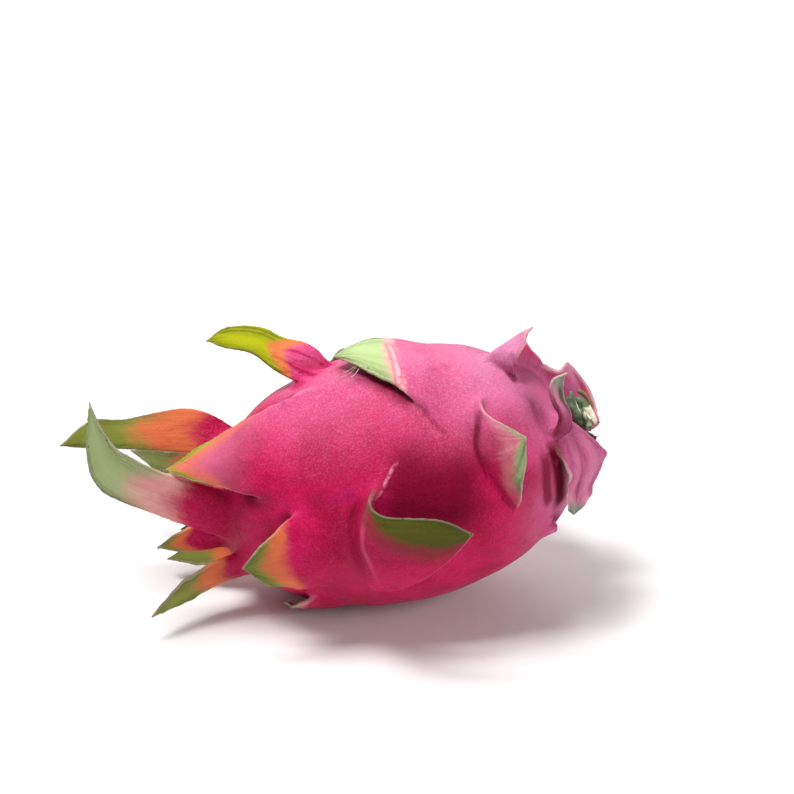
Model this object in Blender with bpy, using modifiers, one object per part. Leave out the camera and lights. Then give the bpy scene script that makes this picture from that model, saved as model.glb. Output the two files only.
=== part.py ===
"""Whole red dragon fruit, lying on its side on a small flat spot.

The fruit is shaped about its own long axis, with the crown end at -X and the
stem end at +X. Every scale is a thin blade laid between three rails: its near
edge, its midrib and its far edge. The fruit's empty then tilts and turns it to
the way it lies, with the flat spot at the origin.
"""
import math

import bmesh
import bpy
from mathutils import Matrix, Vector

MM = 0.001

# Body, an ellipsoid about the fruit's axis (millimetres)
HALF_LENGTH = 63.5
BODY_RADIUS = 43.0
BODY_SIDES = 40
BODY_RINGS = 28
CROWN_PIT_RADIUS = 10.0
CROWN_PIT_DEPTH = 6.0
STEM_PIT_RADIUS = 15.0
STEM_PIT_DEPTH = 4.0

# Swellings of the body: along, turn (degrees), spread and height
SWELLINGS = (
    (44, 55, 9, 3.2),
    (50, 18, 9, 1.6),
    (-12, 22, 12, 1.0),
    (30, 120, 13, 0.8),
    (-36, 95, 12, 0.8),
    (10, -170, 14, 1.0),
)

# How the fruit lies: stem end raised, and turned a little away (degrees)
TILT = 12.5
YAW = 3.0
FLAT_DEPTH = 1.3

# Scales (millimetres)
ROOT_SINK = 2.0
ROOT_THICKNESS = 4.2
EDGE_THICKNESS = 1.0
TIP_HALF_WIDTH = 0.7
BEFORE_TIP = 0.85
TAPER_POWER = 1.5
EDGE_THINNING = 0.5
ROWS_ALONG = 8
ROWS_ACROSS = 6

# Outline of a plain scale: share of its reach, of its width and of its lift
TONGUE_OUTLINE = ((0.0, 1.0, 0.0), (0.25, 0.9, 0.16), (0.5, 0.68, 0.4), (0.75, 0.4, 0.72))
ROOT_LAG = 0.45
TONGUE_CUP = 2.0

# Outline of a crown leaf: share of its reach and of its width
LEAF_OUTLINE = ((0.0, 1.0), (0.25, 0.95), (0.5, 0.8), (0.75, 0.5), (1.0, 0.0))
LEAF_CUP = 1.5

# Cut stem at the raised end (millimetres)
STEM_BASE = Vector((60.5, 3.0, 13.5))
STEM_END = Vector((68.5, -7.5, 5.5))
STEM_RADIUS = 2.9
STEM_LOBES = 3
STEM_LOBE_DEPTH = 0.3
STEM_SIDES = 18
STEM_RINGS = 10
STEM_CUT = 0.85
GAP = 0.3

# Block that cuts the flat spot (metres)
GROUND_SIDE = 0.3
GROUND_DEPTH = 0.05

SHARP_EDGE = math.radians(50)

SKIN_PINK = (0.52, 0.035, 0.16, 1.0)
STEM_GREEN = (0.30, 0.36, 0.16, 1.0)


def radius_at(along):
    """Radius of the body at a distance along its axis."""
    return BODY_RADIUS * math.sqrt(max(0.0, 1.0 - (along / HALF_LENGTH) ** 2))


def at(along, radius, turn):
    """Point by distance along the axis, distance from it and turn about it.

    A turn of 0 degrees faces -Y and 90 degrees faces up.
    """
    angle = math.radians(turn)
    return Vector((along, -radius * math.cos(angle), radius * math.sin(angle)))


def on(along, turn, rise):
    """Point standing a given height above the body, square to its surface."""
    foot = at(along, radius_at(along), turn)
    slope = (BODY_RADIUS / HALF_LENGTH) ** 2
    normal = Vector((foot.x * slope, foot.y, foot.z))
    return foot + normal.normalized() * rise


def rail_point(rail, share):
    """Point at a share of the way along a smooth curve through a rail's points."""
    place = min(max(share, 0.0), 1.0) * (len(rail) - 1)
    index = min(int(place), len(rail) - 2)
    step = place - index
    before = rail[index - 1] if index > 0 else rail[0] * 2 - rail[1]
    after = rail[index + 2] if index + 2 < len(rail) else rail[-1] * 2 - rail[-2]
    start, end = rail[index], rail[index + 1]
    return 0.5 * (
        2 * start
        + (end - before) * step
        + (2 * before - 5 * start + 4 * end - after) * step ** 2
        + (3 * start - before - 3 * end + after) * step ** 3
    )


def blade_point(scale, share, across):
    """Point of a scale's middle sheet.

    share runs from root to tip, and across from -1 at the near edge, through
    the midrib, to 1 at the far edge.
    """
    near, middle, far = (rail_point(rail, share) for rail in scale)
    to_near, to_far = near - middle, far - middle
    if (to_far - to_near).length < 2 * TIP_HALF_WIDTH:
        spread = rail_point(scale[2], BEFORE_TIP) - rail_point(scale[0], BEFORE_TIP)
        to_far = spread.normalized() * TIP_HALF_WIDTH
        to_near = -to_far
    return middle + (to_far - to_near) * across / 2 + (to_far + to_near) * across ** 2 / 2


def tongue(along, turn, reach, half_width, lift, way):
    """Rails of a plain scale that lies along the body.

    way is -1 for a scale that points to the crown and 1 to the stem.
    """
    def rail(side):
        points = []
        for step, narrow, rise in TONGUE_OUTLINE:
            lag = abs(side) * (1.0 - step) * ROOT_LAG * half_width
            place = along + way * (reach * step + lag)
            spread = math.degrees(half_width * narrow * side / radius_at(along))
            height = lift * rise + abs(side) * rise * TONGUE_CUP - ROOT_SINK * (1.0 - step) ** 4
            points.append(on(place, turn + spread, height))
        points.append(on(along + way * reach, turn, lift))
        return points
    return rail(-1), rail(0), rail(1)


def crown_leaf(root, turn, reach, half_width, lean, curl, drift):
    """Rails of a long leaf that grows from the crown end and bends outwards.

    root is where it leaves the body, along the axis. lean is its first angle
    off the axis, curl the bend along its length and drift how far it turns
    about the axis, all in degrees.
    """
    def rail(side):
        along, radius, angle = root, radius_at(root) - ROOT_SINK, math.radians(lean)
        points = []
        for step, narrow in LEAF_OUTLINE:
            spread = math.degrees(half_width * narrow * side / max(radius, half_width))
            cup = abs(side) * step * narrow * LEAF_CUP
            points.append(at(along, radius + cup, turn + drift * step + spread))
            along -= reach / 4 * math.cos(angle)
            radius += reach / 4 * math.sin(angle)
            angle += math.radians(curl) / 4
        return points
    return rail(-1), rail(0), rail(1)


def seen_scales():
    """Rails of the scales that stand on the front, the top and both ends."""
    low_tip = on(21, 1, 8)
    high_tip = on(40.5, 34, 11)
    top_tip = on(-10.5, 96, 4)
    left_tip = on(-55.5, 61, 21)
    long_tip = at(-51, 61, 98)
    curved_tip = at(-108, 36.5, 96)
    upright_tip = at(-87, 67, 71)
    shoulder_tip = on(46.5, 94, 16)
    collar_tip = on(51.5, 63, 17)
    hood_tip = at(64.5, 25, 118)
    flap_tip = on(51, -27, 6)
    return {
        "front_low": (
            (on(2.5, 36, -1.5), on(-2.5, 29, 1), on(-6.5, 22, 4),
             on(-2.5, 16, 7), on(12.5, 11, 9), low_tip),
            (on(-19, 4, -2), on(-14.5, 4, 1), on(-10.5, 4, 5), on(-2, 2, 8), on(9, 2, 9), low_tip),
            (on(-15, -30, -2), on(-12, -23, 2), on(-6, -19, 5),
             on(2.5, -14, 7), on(12.5, -7, 8), low_tip),
        ),
        "front_high": (
            (on(38, 66, -1.5), on(33, 57, 3), on(33, 47, 6), on(37, 40, 9), high_tip),
            (on(29, 37, -2.5), on(30, 36, 0), on(33, 33, 3.5), on(36.5, 32, 8), high_tip),
            (on(37, -11, -2.5), on(37.5, 2, 3.5), on(38, 13, 7), on(39.5, 23, 9.5), high_tip),
        ),
        "top": (
            (on(19, 48, -1.5), on(14, 56, 2.5), on(9, 65, 4), on(1.5, 74, 5), on(-5, 85, 4.5), top_tip),
            (on(24, 78, -2), on(17, 82, 1), on(10, 86, 3), on(3, 90, 4), on(-4, 94, 4.5), top_tip),
            (on(22, 114, -1.5), on(15, 113, 0.5), on(8, 110, 2.5),
             on(2, 107, 4), on(-5, 101, 4.5), top_tip),
        ),
        "left": (
            (on(-15, 90, -1.5), on(-22.5, 83, 1), on(-29.5, 79, 3),
             on(-41, 75, 7), on(-50, 69, 13), left_tip),
            (on(-27, 53, -2), on(-34.5, 55, 1), on(-41, 57, 4),
             on(-45.5, 56, 9), on(-50.5, 57, 15), left_tip),
            (on(-34, 29, -2), on(-40.5, 33, 1), on(-46, 38, 3),
             on(-49, 44, 9), on(-52, 50, 16), left_tip),
        ),
        "long": (
            (on(-21, 93, -2), at(-27, 42.5, 96), at(-31.5, 46.5, 97),
             at(-37, 53, 98), at(-45, 57, 98), long_tip),
            (on(-16, 101, -2), at(-22.5, 46.5, 101), at(-29, 50.5, 101),
             at(-35, 56, 101), at(-44, 60, 100), long_tip),
            (on(-11.5, 108, -2), at(-19, 50, 107), at(-26.5, 54, 107),
             at(-33.5, 60, 105), at(-43.5, 63, 102), long_tip),
        ),
        "curved": (
            (on(-50, 124, -2), at(-63, 37, 112), at(-85, 39, 106), at(-96, 42, 101), curved_tip),
            (on(-52, 106, -2), at(-65, 30, 108), at(-86, 34.5, 103), at(-97.5, 38, 99), curved_tip),
            (on(-54, 84, -2), at(-66, 23, 102), at(-87, 29.5, 100), at(-99.5, 33.5, 97), curved_tip),
        ),
        "upright": (
            (on(-58, -8, -2), at(-80.5, 24.5, 43), at(-93, 38, 55), at(-93, 51.5, 62), upright_tip),
            (on(-57, 22, -2), at(-76.5, 31.5, 51), at(-87.5, 45, 58), at(-88.5, 56.5, 64), upright_tip),
            (on(-56, 50, -2), at(-71.5, 36.5, 57), at(-81, 49, 61), at(-84.5, 57, 64), upright_tip),
        ),
        "shoulder": (
            (on(48, 80, -2), on(44, 79, 7), on(45.5, 86, 10.5), on(45.5, 90, 13), shoulder_tip),
            (on(38, 96, -2), on(41.5, 95, 4), on(43.5, 95, 8.5), on(45, 94, 12.5), shoulder_tip),
            (on(54, 122, -2), on(53, 120, 4), on(49.5, 108, 7), on(47, 99, 11), shoulder_tip),
        ),
        "collar": (
            (on(53, 26, -2), on(51, 41, 9), on(49, 50, 11),
             on(48.5, 56, 12), on(49, 61, 14), collar_tip),
            (on(55, 26, -2), on(53, 41, 9), on(51, 51, 11),
             on(50.3, 57, 12.5), on(50.3, 61.5, 14.5), collar_tip),
            (on(57, 26, -2), on(55, 42, 6.5), on(53, 53, 9.5),
             on(52, 58, 12), on(51.7, 62, 14.5), collar_tip),
        ),
        "hood": (
            (on(53, 112, -2), at(56, 24.5, 113), at(58, 24.5, 115),
             at(60.5, 24, 116), at(62.5, 24.5, 117), hood_tip),
            (on(56, 165, -2), at(62, 16, 165), at(65, 18, 152),
             at(66, 20.5, 140), at(65.5, 22.5, 128), hood_tip),
            (on(60, -140, -2), at(70, 6.5, -168), at(71, 11, 175),
             at(70.5, 16, 152), at(67.5, 21, 133), hood_tip),
        ),
        "flap": (
            (on(49, 50, -2), on(52, 30, 2.5), on(53, 14, 3.5), on(53, 3, 4.5),
             on(52, -8, 4.5), on(50, -18, 5), flap_tip),
            (on(53, 55, -2), on(56, 38, 5), on(57.5, 20, 6), on(57, 1, 6.5),
             on(55, -10, 6.5), on(53, -19, 7), flap_tip),
            (on(57, 58, -2), on(58, 42, 5.5), on(61, 16, 8), on(61, -5, 10),
             on(57, -18, 7.5), on(56, -24, 8.5), flap_tip),
        ),
    }


def hidden_scales():
    """Rails of the scales on the back, the underside and the far crown."""
    return {
        "front_left": tongue(-20, 0, 27, 17, 11, -1),
        "back_high": tongue(12, 150, 27, 16, 9, -1),
        "back_middle": tongue(24, -176, 22, 15, 9, 1),
        "back_low": tongue(-10, -162, 25, 15, 8, -1),
        "back_stem": tongue(36, -132, 17, 12, 7, 1),
        "back_left": tongue(-30, 165, 24, 14, 12, -1),
        "under_front": tongue(-24, -52, 20, 13, 4, -1),
        "under_stem": tongue(43, -43, 5.5, 5, 1.5, 1),
        "stem_low": tongue(47, -100, 13, 10, 5, 1),
        "crown_front": crown_leaf(-54, -38, 38, 8.5, 8, 42, 14),
        "crown_low": crown_leaf(-54, -100, 32, 8.0, -14, 30, -12),
        "crown_back": crown_leaf(-54, -155, 42, 8.5, 4, 50, -14),
        "crown_high": crown_leaf(-54, 162, 48, 9.0, 14, 46, 8),
        "crown_inner_1": crown_leaf(-59, 0, 24, 5.5, 2, 34, 10),
        "crown_inner_2": crown_leaf(-59, -130, 20, 5.0, -6, 26, -10),
        "crown_inner_3": crown_leaf(-59, 130, 26, 5.5, 4, 30, 6),
    }


def add_object(name, mesh, home):
    """Make an object in a collection."""
    thing = bpy.data.objects.new(name, mesh)
    home.objects.link(thing)
    return thing


def add_material(name, colour, roughness):
    """Make a Principled material."""
    material = bpy.data.materials.new(name)
    material.use_nodes = True
    shader = material.node_tree.nodes["Principled BSDF"]
    shader.inputs["Base Color"].default_value = colour
    shader.inputs["Roughness"].default_value = roughness
    shader.inputs["Metallic"].default_value = 0.0
    return material


def pit(radius, pit_radius, depth):
    """Depth of a round hollow at a distance from the axis."""
    share = min(radius / pit_radius, 1.0)
    return depth * (1.0 - share ** 2) ** 2


def swelling(place):
    """How far a point of the body is pushed out by the swellings."""
    push = Vector((0.0, 0.0, 0.0))
    for along, turn, spread, height in SWELLINGS:
        centre = on(along, turn, 0)
        outward = (on(along, turn, 1) - centre).normalized()
        push += outward * height * math.exp(-((place - centre).length / spread) ** 2)
    return push


def make_body(home):
    """Ellipsoid body with a hollow at the crown and one at the stem."""
    mesh = bpy.data.meshes.new("fruit")
    shape = bmesh.new()
    bmesh.ops.create_uvsphere(shape, u_segments=BODY_SIDES, v_segments=BODY_RINGS, radius=1.0)
    bmesh.ops.rotate(shape, verts=shape.verts, matrix=Matrix.Rotation(math.radians(90), 3, "Y"))
    for vert in shape.verts:
        place = Vector((HALF_LENGTH * vert.co.x, BODY_RADIUS * vert.co.y, BODY_RADIUS * vert.co.z))
        radius = math.hypot(place.y, place.z)
        if place.x < 0:
            hollow = pit(radius, CROWN_PIT_RADIUS, CROWN_PIT_DEPTH)
        else:
            hollow = -pit(radius, STEM_PIT_RADIUS, STEM_PIT_DEPTH)
        vert.co = (place + swelling(place) + Vector((hollow, 0.0, 0.0))) * MM
    shape.to_mesh(mesh)
    shape.free()
    return add_object("fruit", mesh, home)


def make_scale(name, rails, home):
    """Blade between three rails, thick at the root and thin at its edges."""
    shape = bmesh.new()
    weights = shape.verts.layers.deform.new()
    bmesh.ops.create_grid(shape, x_segments=ROWS_ACROSS, y_segments=ROWS_ALONG, size=1.0)
    for vert in shape.verts:
        share, across = (vert.co.y + 1) / 2, vert.co.x
        body = (1 - share) ** TAPER_POWER * (1 - EDGE_THINNING * across ** 2)
        thickness = EDGE_THICKNESS + (ROOT_THICKNESS - EDGE_THICKNESS) * body
        vert[weights][0] = thickness / ROOT_THICKNESS
        vert.co = blade_point(rails, share, across) * MM
    bmesh.ops.triangulate(shape, faces=shape.faces)
    mesh = bpy.data.meshes.new(name)
    shape.to_mesh(mesh)
    shape.free()
    scale = add_object(name, mesh, home)
    scale.vertex_groups.new(name="thickness")
    wall = scale.modifiers.new("wall", "SOLIDIFY")
    wall.thickness = ROOT_THICKNESS * MM
    wall.offset = 0.0
    wall.vertex_group = "thickness"
    wall.thickness_vertex_group = 0.0
    return scale


def make_stem(name, grow, home):
    """Short cut stem with three blunt ribs and a flat cut face."""
    mesh = bpy.data.meshes.new(name)
    shape = bmesh.new()
    bmesh.ops.create_uvsphere(shape, u_segments=STEM_SIDES, v_segments=STEM_RINGS, radius=1.0)
    axis = STEM_END - STEM_BASE
    turn = axis.to_track_quat("Z", "Y")
    for vert in shape.verts:
        angle = math.atan2(vert.co.y, vert.co.x)
        width = STEM_RADIUS * (1 + STEM_LOBE_DEPTH * math.cos(STEM_LOBES * angle)) + grow
        height = min(vert.co.z, STEM_CUT) * (axis.length / 2 + grow)
        local = Vector((vert.co.x * width, vert.co.y * width, height))
        vert.co = (STEM_BASE + axis / 2 + turn @ local) * MM
    shape.to_mesh(mesh)
    shape.free()
    return add_object(name, mesh, home)


def make_floor_cutter(home):
    """Block below the ground that cuts the flat spot."""
    shape = bmesh.new()
    bmesh.ops.create_cube(shape, size=1.0)
    bmesh.ops.scale(shape, vec=(GROUND_SIDE, GROUND_SIDE, GROUND_DEPTH), verts=shape.verts)
    bmesh.ops.translate(shape, vec=(0.0, 0.0, -GROUND_DEPTH / 2), verts=shape.verts)
    mesh = bpy.data.meshes.new("ground")
    shape.to_mesh(mesh)
    shape.free()
    return add_object("ground", mesh, home)


def resting_matrix():
    """Place of the fruit's own frame when its flat spot is at the origin."""
    tilt = math.radians(TILT)
    span = math.hypot(HALF_LENGTH * math.sin(tilt), BODY_RADIUS * math.cos(tilt))
    lowest = (HALF_LENGTH ** 2 - BODY_RADIUS ** 2) * math.sin(tilt) * math.cos(tilt) / span
    yaw = Matrix.Rotation(math.radians(YAW), 4, "Z")
    lean = Matrix.Rotation(-tilt, 4, "Y")
    return yaw @ Matrix.Translation(Vector((lowest, 0, span - FLAT_DEPTH)) * MM) @ lean


def add_boolean(thing, name, operation):
    """Exact Boolean modifier."""
    boolean = thing.modifiers.new(name, "BOOLEAN")
    boolean.operation = operation
    boolean.solver = "EXACT"
    return boolean


def build():
    """Build the fruit and its cut stem."""
    for thing in list(bpy.data.objects):
        bpy.data.objects.remove(thing)
    root = bpy.context.scene.collection
    home = bpy.data.collections.new("dragon_fruit")
    cutters = bpy.data.collections.new("cutters")
    scales = bpy.data.collections.new("scales")
    for collection in (home, cutters, scales):
        root.children.link(collection)

    axis = bpy.data.objects.new("fruit_axis", None)
    home.objects.link(axis)
    axis.matrix_world = resting_matrix()

    fruit = make_body(home)
    fruit.parent = axis
    for name, rails in {**seen_scales(), **hidden_scales()}.items():
        make_scale(name, rails, scales).parent = axis
    union = add_boolean(fruit, "scales", "UNION")
    union.operand_type = "COLLECTION"
    union.collection = scales
    stem = make_stem("stem_stub", 0.0, home)
    seat = make_stem("stem_seat", GAP, cutters)
    stem.parent = axis
    seat.parent = axis
    for name, cutter in (("flat spot", make_floor_cutter(cutters)), ("stem seat", seat)):
        cutter.hide_render = True
        cutter.display_type = "WIRE"
        add_boolean(fruit, name, "DIFFERENCE").object = cutter

    bpy.context.view_layer.update()
    evaluated = fruit.evaluated_get(bpy.context.evaluated_depsgraph_get())
    fused = bpy.data.meshes.new_from_object(evaluated)
    fruit.modifiers.clear()
    fruit.data = fused
    for scale in list(scales.objects):
        bpy.data.objects.remove(scale)
    bpy.data.collections.remove(scales)

    for thing, material in (
        (fruit, add_material("fruit_skin", SKIN_PINK, 0.42)),
        (stem, add_material("stem_flesh", STEM_GREEN, 0.6)),
    ):
        thing.data.materials.clear()
        thing.data.materials.append(material)
        thing.data.shade_smooth()
        thing.data.set_sharp_from_angle(angle=SHARP_EDGE)


build()
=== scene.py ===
"""Looks of a whole red dragon fruit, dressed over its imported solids.

The fruit's skin and its scales are modelled as one flowing surface, because
they grew as one. Every scale is a thin blade laid between three rails: its
near edge, its midrib and its far edge, in the fruit's own frame, where the
crown end is at -X and the stem end at +X. Sizes are in millimetres until a
mesh is placed, and meshes are in metres.
"""
import logging
import math
from dataclasses import dataclass, field
from enum import Enum

import bpy
import numpy as np
from mathutils import Matrix, Vector, kdtree, noise


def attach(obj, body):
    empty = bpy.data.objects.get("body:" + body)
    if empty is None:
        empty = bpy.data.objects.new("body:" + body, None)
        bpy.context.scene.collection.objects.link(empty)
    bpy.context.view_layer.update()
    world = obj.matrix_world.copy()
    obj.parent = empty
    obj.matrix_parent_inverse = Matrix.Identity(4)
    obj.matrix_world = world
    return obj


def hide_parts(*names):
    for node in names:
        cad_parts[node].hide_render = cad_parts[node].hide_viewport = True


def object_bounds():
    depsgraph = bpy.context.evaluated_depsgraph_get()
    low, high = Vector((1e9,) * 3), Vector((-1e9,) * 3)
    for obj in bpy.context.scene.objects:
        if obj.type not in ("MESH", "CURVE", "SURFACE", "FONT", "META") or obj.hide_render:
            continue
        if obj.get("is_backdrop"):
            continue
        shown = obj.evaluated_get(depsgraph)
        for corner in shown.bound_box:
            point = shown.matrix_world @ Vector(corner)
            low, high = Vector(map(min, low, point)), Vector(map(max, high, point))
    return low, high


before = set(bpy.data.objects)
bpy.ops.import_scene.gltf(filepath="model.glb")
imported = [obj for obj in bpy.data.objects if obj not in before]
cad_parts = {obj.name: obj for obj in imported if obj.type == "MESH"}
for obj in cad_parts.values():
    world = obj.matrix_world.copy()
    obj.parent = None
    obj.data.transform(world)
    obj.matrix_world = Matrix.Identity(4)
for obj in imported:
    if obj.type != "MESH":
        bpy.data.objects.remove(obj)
CAD_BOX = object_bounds()

MM = 0.001
LOG = logging.getLogger("dragon_fruit")
SMALL_STEP = 0.01
FAR_AWAY = 9.0
LEAF_SHIFT = 1.7
TINY = 1e-9


class LeafGreen(Enum):
    """Green of a scale where it is past its pink part."""

    OLIVE = (0.100, 0.095, 0.010)
    MIST = (0.36, 0.40, 0.31)
    DUSK = (0.24, 0.24, 0.18)
    MOSS = (0.22, 0.26, 0.045)
    SAGE = (0.36, 0.44, 0.20)
    PALE = (0.44, 0.58, 0.24)
    LIME = (0.44, 0.47, 0.006)


class LeafWarmth(Enum):
    """Tone of a scale between its pink and its green part."""

    ORANGE = (0.72, 0.19, 0.06)
    CREAM = (0.84, 0.52, 0.44)
    BROWN = (0.15, 0.04, 0.022)


@dataclass(frozen=True)
class Tint:
    """How a scale's colour runs from its pink root to its green tip.

    Shares are fractions of the way from root to tip.
    """

    green: LeafGreen = LeafGreen.SAGE
    warmth: LeafWarmth = LeafWarmth.CREAM
    green_from: float = 0.55
    green_to: float = 0.85
    edge_lead: float = 0.2
    far_lead: float = 0.0
    warm: float = 0.5
    warm_reach: float = 0.6
    rim: float = 0.4
    dry_tip: float = 0.3
    inner_red: float = 0.4
    # Share of the highlight colour laid on the scale: partly its own paler tone, partly painted light.
    pale_tone_and_painted_light: float = 0.0


@dataclass(frozen=True)
class FruitFrame:
    """The fruit's own frame: an ellipsoid about its axis, and how it lies."""

    half_length: float = 63.5
    radius: float = 43.0
    tilt: float = 12.5
    yaw: float = 3.0
    flat_depth: float = 1.3

    def radius_at(self, along: float) -> float:
        """Radius of the body at a distance along its axis."""
        return self.radius * math.sqrt(max(0.0, 1.0 - (along / self.half_length) ** 2))

    def at(self, along: float, radius: float, turn: float) -> Vector:
        """Point by distance along the axis, distance from it and turn about it.

        Args:
            along: Distance along the axis, towards the stem end.
            radius: Distance from the axis.
            turn: Degrees about the axis, 0 facing -Y and 90 facing up.

        Returns:
            The point, in millimetres.
        """
        angle = math.radians(turn)
        return Vector((along, -radius * math.cos(angle), radius * math.sin(angle)))

    def on(self, along: float, turn: float, rise: float) -> Vector:
        """Point standing a given height above the body, square to its surface.

        Args:
            along: Distance along the axis of the foot of the height.
            turn: Degrees about the axis.
            rise: Height above the body's surface.

        Returns:
            The point, in millimetres.
        """
        foot = self.at(along, self.radius_at(along), turn)
        slope = (self.radius / self.half_length) ** 2
        return foot + Vector((foot.x * slope, foot.y, foot.z)).normalized() * rise

    def resting_matrix(self) -> Matrix:
        """Matrix from this frame, in metres, to the world where the fruit lies."""
        tilt = math.radians(self.tilt)
        span = math.hypot(self.half_length * math.sin(tilt), self.radius * math.cos(tilt))
        squash = self.half_length ** 2 - self.radius ** 2
        lowest = squash * math.sin(tilt) * math.cos(tilt) / span
        yaw = Matrix.Rotation(math.radians(self.yaw), 4, "Z")
        lean = Matrix.Rotation(-tilt, 4, "Y")
        centre = Vector((lowest, 0.0, span - self.flat_depth)) * MM
        return yaw @ Matrix.Translation(centre) @ lean


FRUIT = FruitFrame()
at = FRUIT.at
on = FRUIT.on


def smooth_step(low: float, high: float, value: np.ndarray) -> np.ndarray:
    """Ease from 0 at low to 1 at high.

    Args:
        low: Value where the result is 0.
        high: Value where the result is 1.
        value: Values to ease.

    Returns:
        Eased values between 0 and 1.
    """
    share = np.clip((value - low) / (high - low), 0.0, 1.0)
    return share * share * (3.0 - 2.0 * share)


def rail_points(rail: tuple, shares: np.ndarray) -> np.ndarray:
    """Points on a smooth curve through a rail's points.

    Args:
        rail: Points that the curve passes through, root first.
        shares: Shares of the way along the curve, from 0 to 1.

    Returns:
        One row of x, y, z for each share.
    """
    knots = np.array([tuple(point) for point in rail])
    ends = (knots[0] * 2 - knots[1], knots[-1] * 2 - knots[-2])
    padded = np.vstack([ends[0], knots, ends[1]])
    place = np.clip(shares, 0.0, 1.0) * (len(knots) - 1)
    index = np.minimum(place.astype(int), len(knots) - 2)
    step = (place - index)[:, None]
    before, start, end, after = (padded[index + shift] for shift in range(4))
    return 0.5 * (
        2 * start
        + (end - before) * step
        + (2 * before - 5 * start + 4 * end - after) * step ** 2
        + (3 * start - before - 3 * end + after) * step ** 3
    )


@dataclass(frozen=True)
class Blade:
    """One scale: a thin blade between a near, a middle and a far rail."""

    name: str
    rails: tuple
    tint: Tint = Tint()
    root_thickness: float = 4.2
    edge_thickness: float = 0.95
    wave: float = 0.35
    waves: float = 3.0
    fold: float = 0.12
    tip_half_width: float = 0.55
    full_width: float = 6.0

    def sheet(self, shares: np.ndarray, acrosses: np.ndarray) -> np.ndarray:
        """Points of the middle sheet.

        Args:
            shares: Shares of the way from root to tip.
            acrosses: Places across, from -1 at the near edge to 1 at the far one.

        Returns:
            One row of x, y, z for each pair.
        """
        near, middle, far = (rail_points(rail, shares) for rail in self.rails)
        to_near, to_far = near - middle, far - middle
        span = to_far - to_near
        width = np.linalg.norm(span, axis=1, keepdims=True)
        near_tip = np.full(1, 0.85)
        across = rail_points(self.rails[2], near_tip) - rail_points(self.rails[0], near_tip)
        side = across / np.linalg.norm(across) * self.tip_half_width
        thin = width < 2 * self.tip_half_width
        to_far = np.where(thin, side, to_far)
        to_near = np.where(thin, -side, to_near)
        cross = acrosses[:, None]
        flat = middle + (to_far - to_near) * cross / 2 + (to_far + to_near) * cross ** 2 / 2
        ripple = np.sin(2 * math.pi * (self.waves * shares + 0.31 * len(self.name)))
        ripple = ripple + 0.5 * np.sin(2 * math.pi * (2.3 * self.waves * shares + 0.17))
        at_edges = acrosses ** 2 * np.sign(acrosses + 0.2)
        lift = self.wave * ripple * at_edges * smooth_step(0.15, 0.5, shares)
        lift += self.fold * self.creases(shares, acrosses)
        lift = lift * np.clip(width[:, 0] / self.full_width, 0.0, 1.0)
        outward = np.cross(self.direction(shares), span / np.maximum(width, 1e-6))
        length = np.maximum(np.linalg.norm(outward, axis=1, keepdims=True), 1e-6)
        return flat + outward / length * lift[:, None]

    def creases(self, shares: np.ndarray, acrosses: np.ndarray) -> np.ndarray:
        """Lengthwise folds, from -1 in their hollows to 1 on their crests."""
        place = 1.3 * acrosses + 0.25 * np.sin(4.0 * shares + 2.0 * acrosses)
        place = place + 0.2 * np.sin(11.0 * shares)
        folds = np.sin(2 * math.pi * (place + 0.23 * len(self.name)))
        return folds * smooth_step(0.1, 0.4, shares) * (1 - 0.6 * acrosses ** 2)

    def direction(self, shares: np.ndarray) -> np.ndarray:
        """Direction of the midrib at each share."""
        ahead = rail_points(self.rails[1], np.minimum(shares + SMALL_STEP, 1.0))
        behind = rail_points(self.rails[1], np.maximum(shares - SMALL_STEP, 0.0))
        return ahead - behind

    def thickness(self, shares: np.ndarray, acrosses: np.ndarray) -> np.ndarray:
        """Thickness of the blade, thick at the root and thin at its edges."""
        body = (1.0 - shares) ** 1.5 * (1.0 - 0.5 * acrosses ** 2)
        return self.edge_thickness + (self.root_thickness - self.edge_thickness) * body


def tongue(
    along: float, turn: float, reach: float, half_width: float, lift: float, way: int
) -> tuple:
    """Rails of a plain scale that lies along the body.

    Args:
        along: Where its root is along the axis.
        turn: Degrees about the axis.
        reach: Length.
        half_width: Half its width at the root.
        lift: Height of its tip above the body.
        way: -1 where it points to the crown and 1 where it points to the stem.

    Returns:
        The near, middle and far rails.
    """
    outline = ((0.0, 1.0, 0.0), (0.25, 0.9, 0.16), (0.5, 0.68, 0.4), (0.75, 0.4, 0.72))
    root_lag, cup, sink = 0.45, 2.0, 2.0

    def rail(side: int) -> tuple:
        """One rail of the scale."""
        points = []
        for step, narrow, rise in outline:
            lag = abs(side) * (1.0 - step) * root_lag * half_width
            spread = math.degrees(half_width * narrow * side / FRUIT.radius_at(along))
            height = lift * rise + abs(side) * rise * cup - sink * (1.0 - step) ** 4
            points.append(on(along + way * (reach * step + lag), turn + spread, height))
        points.append(on(along + way * reach, turn, lift))
        return tuple(points)

    return rail(-1), rail(0), rail(1)


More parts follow.
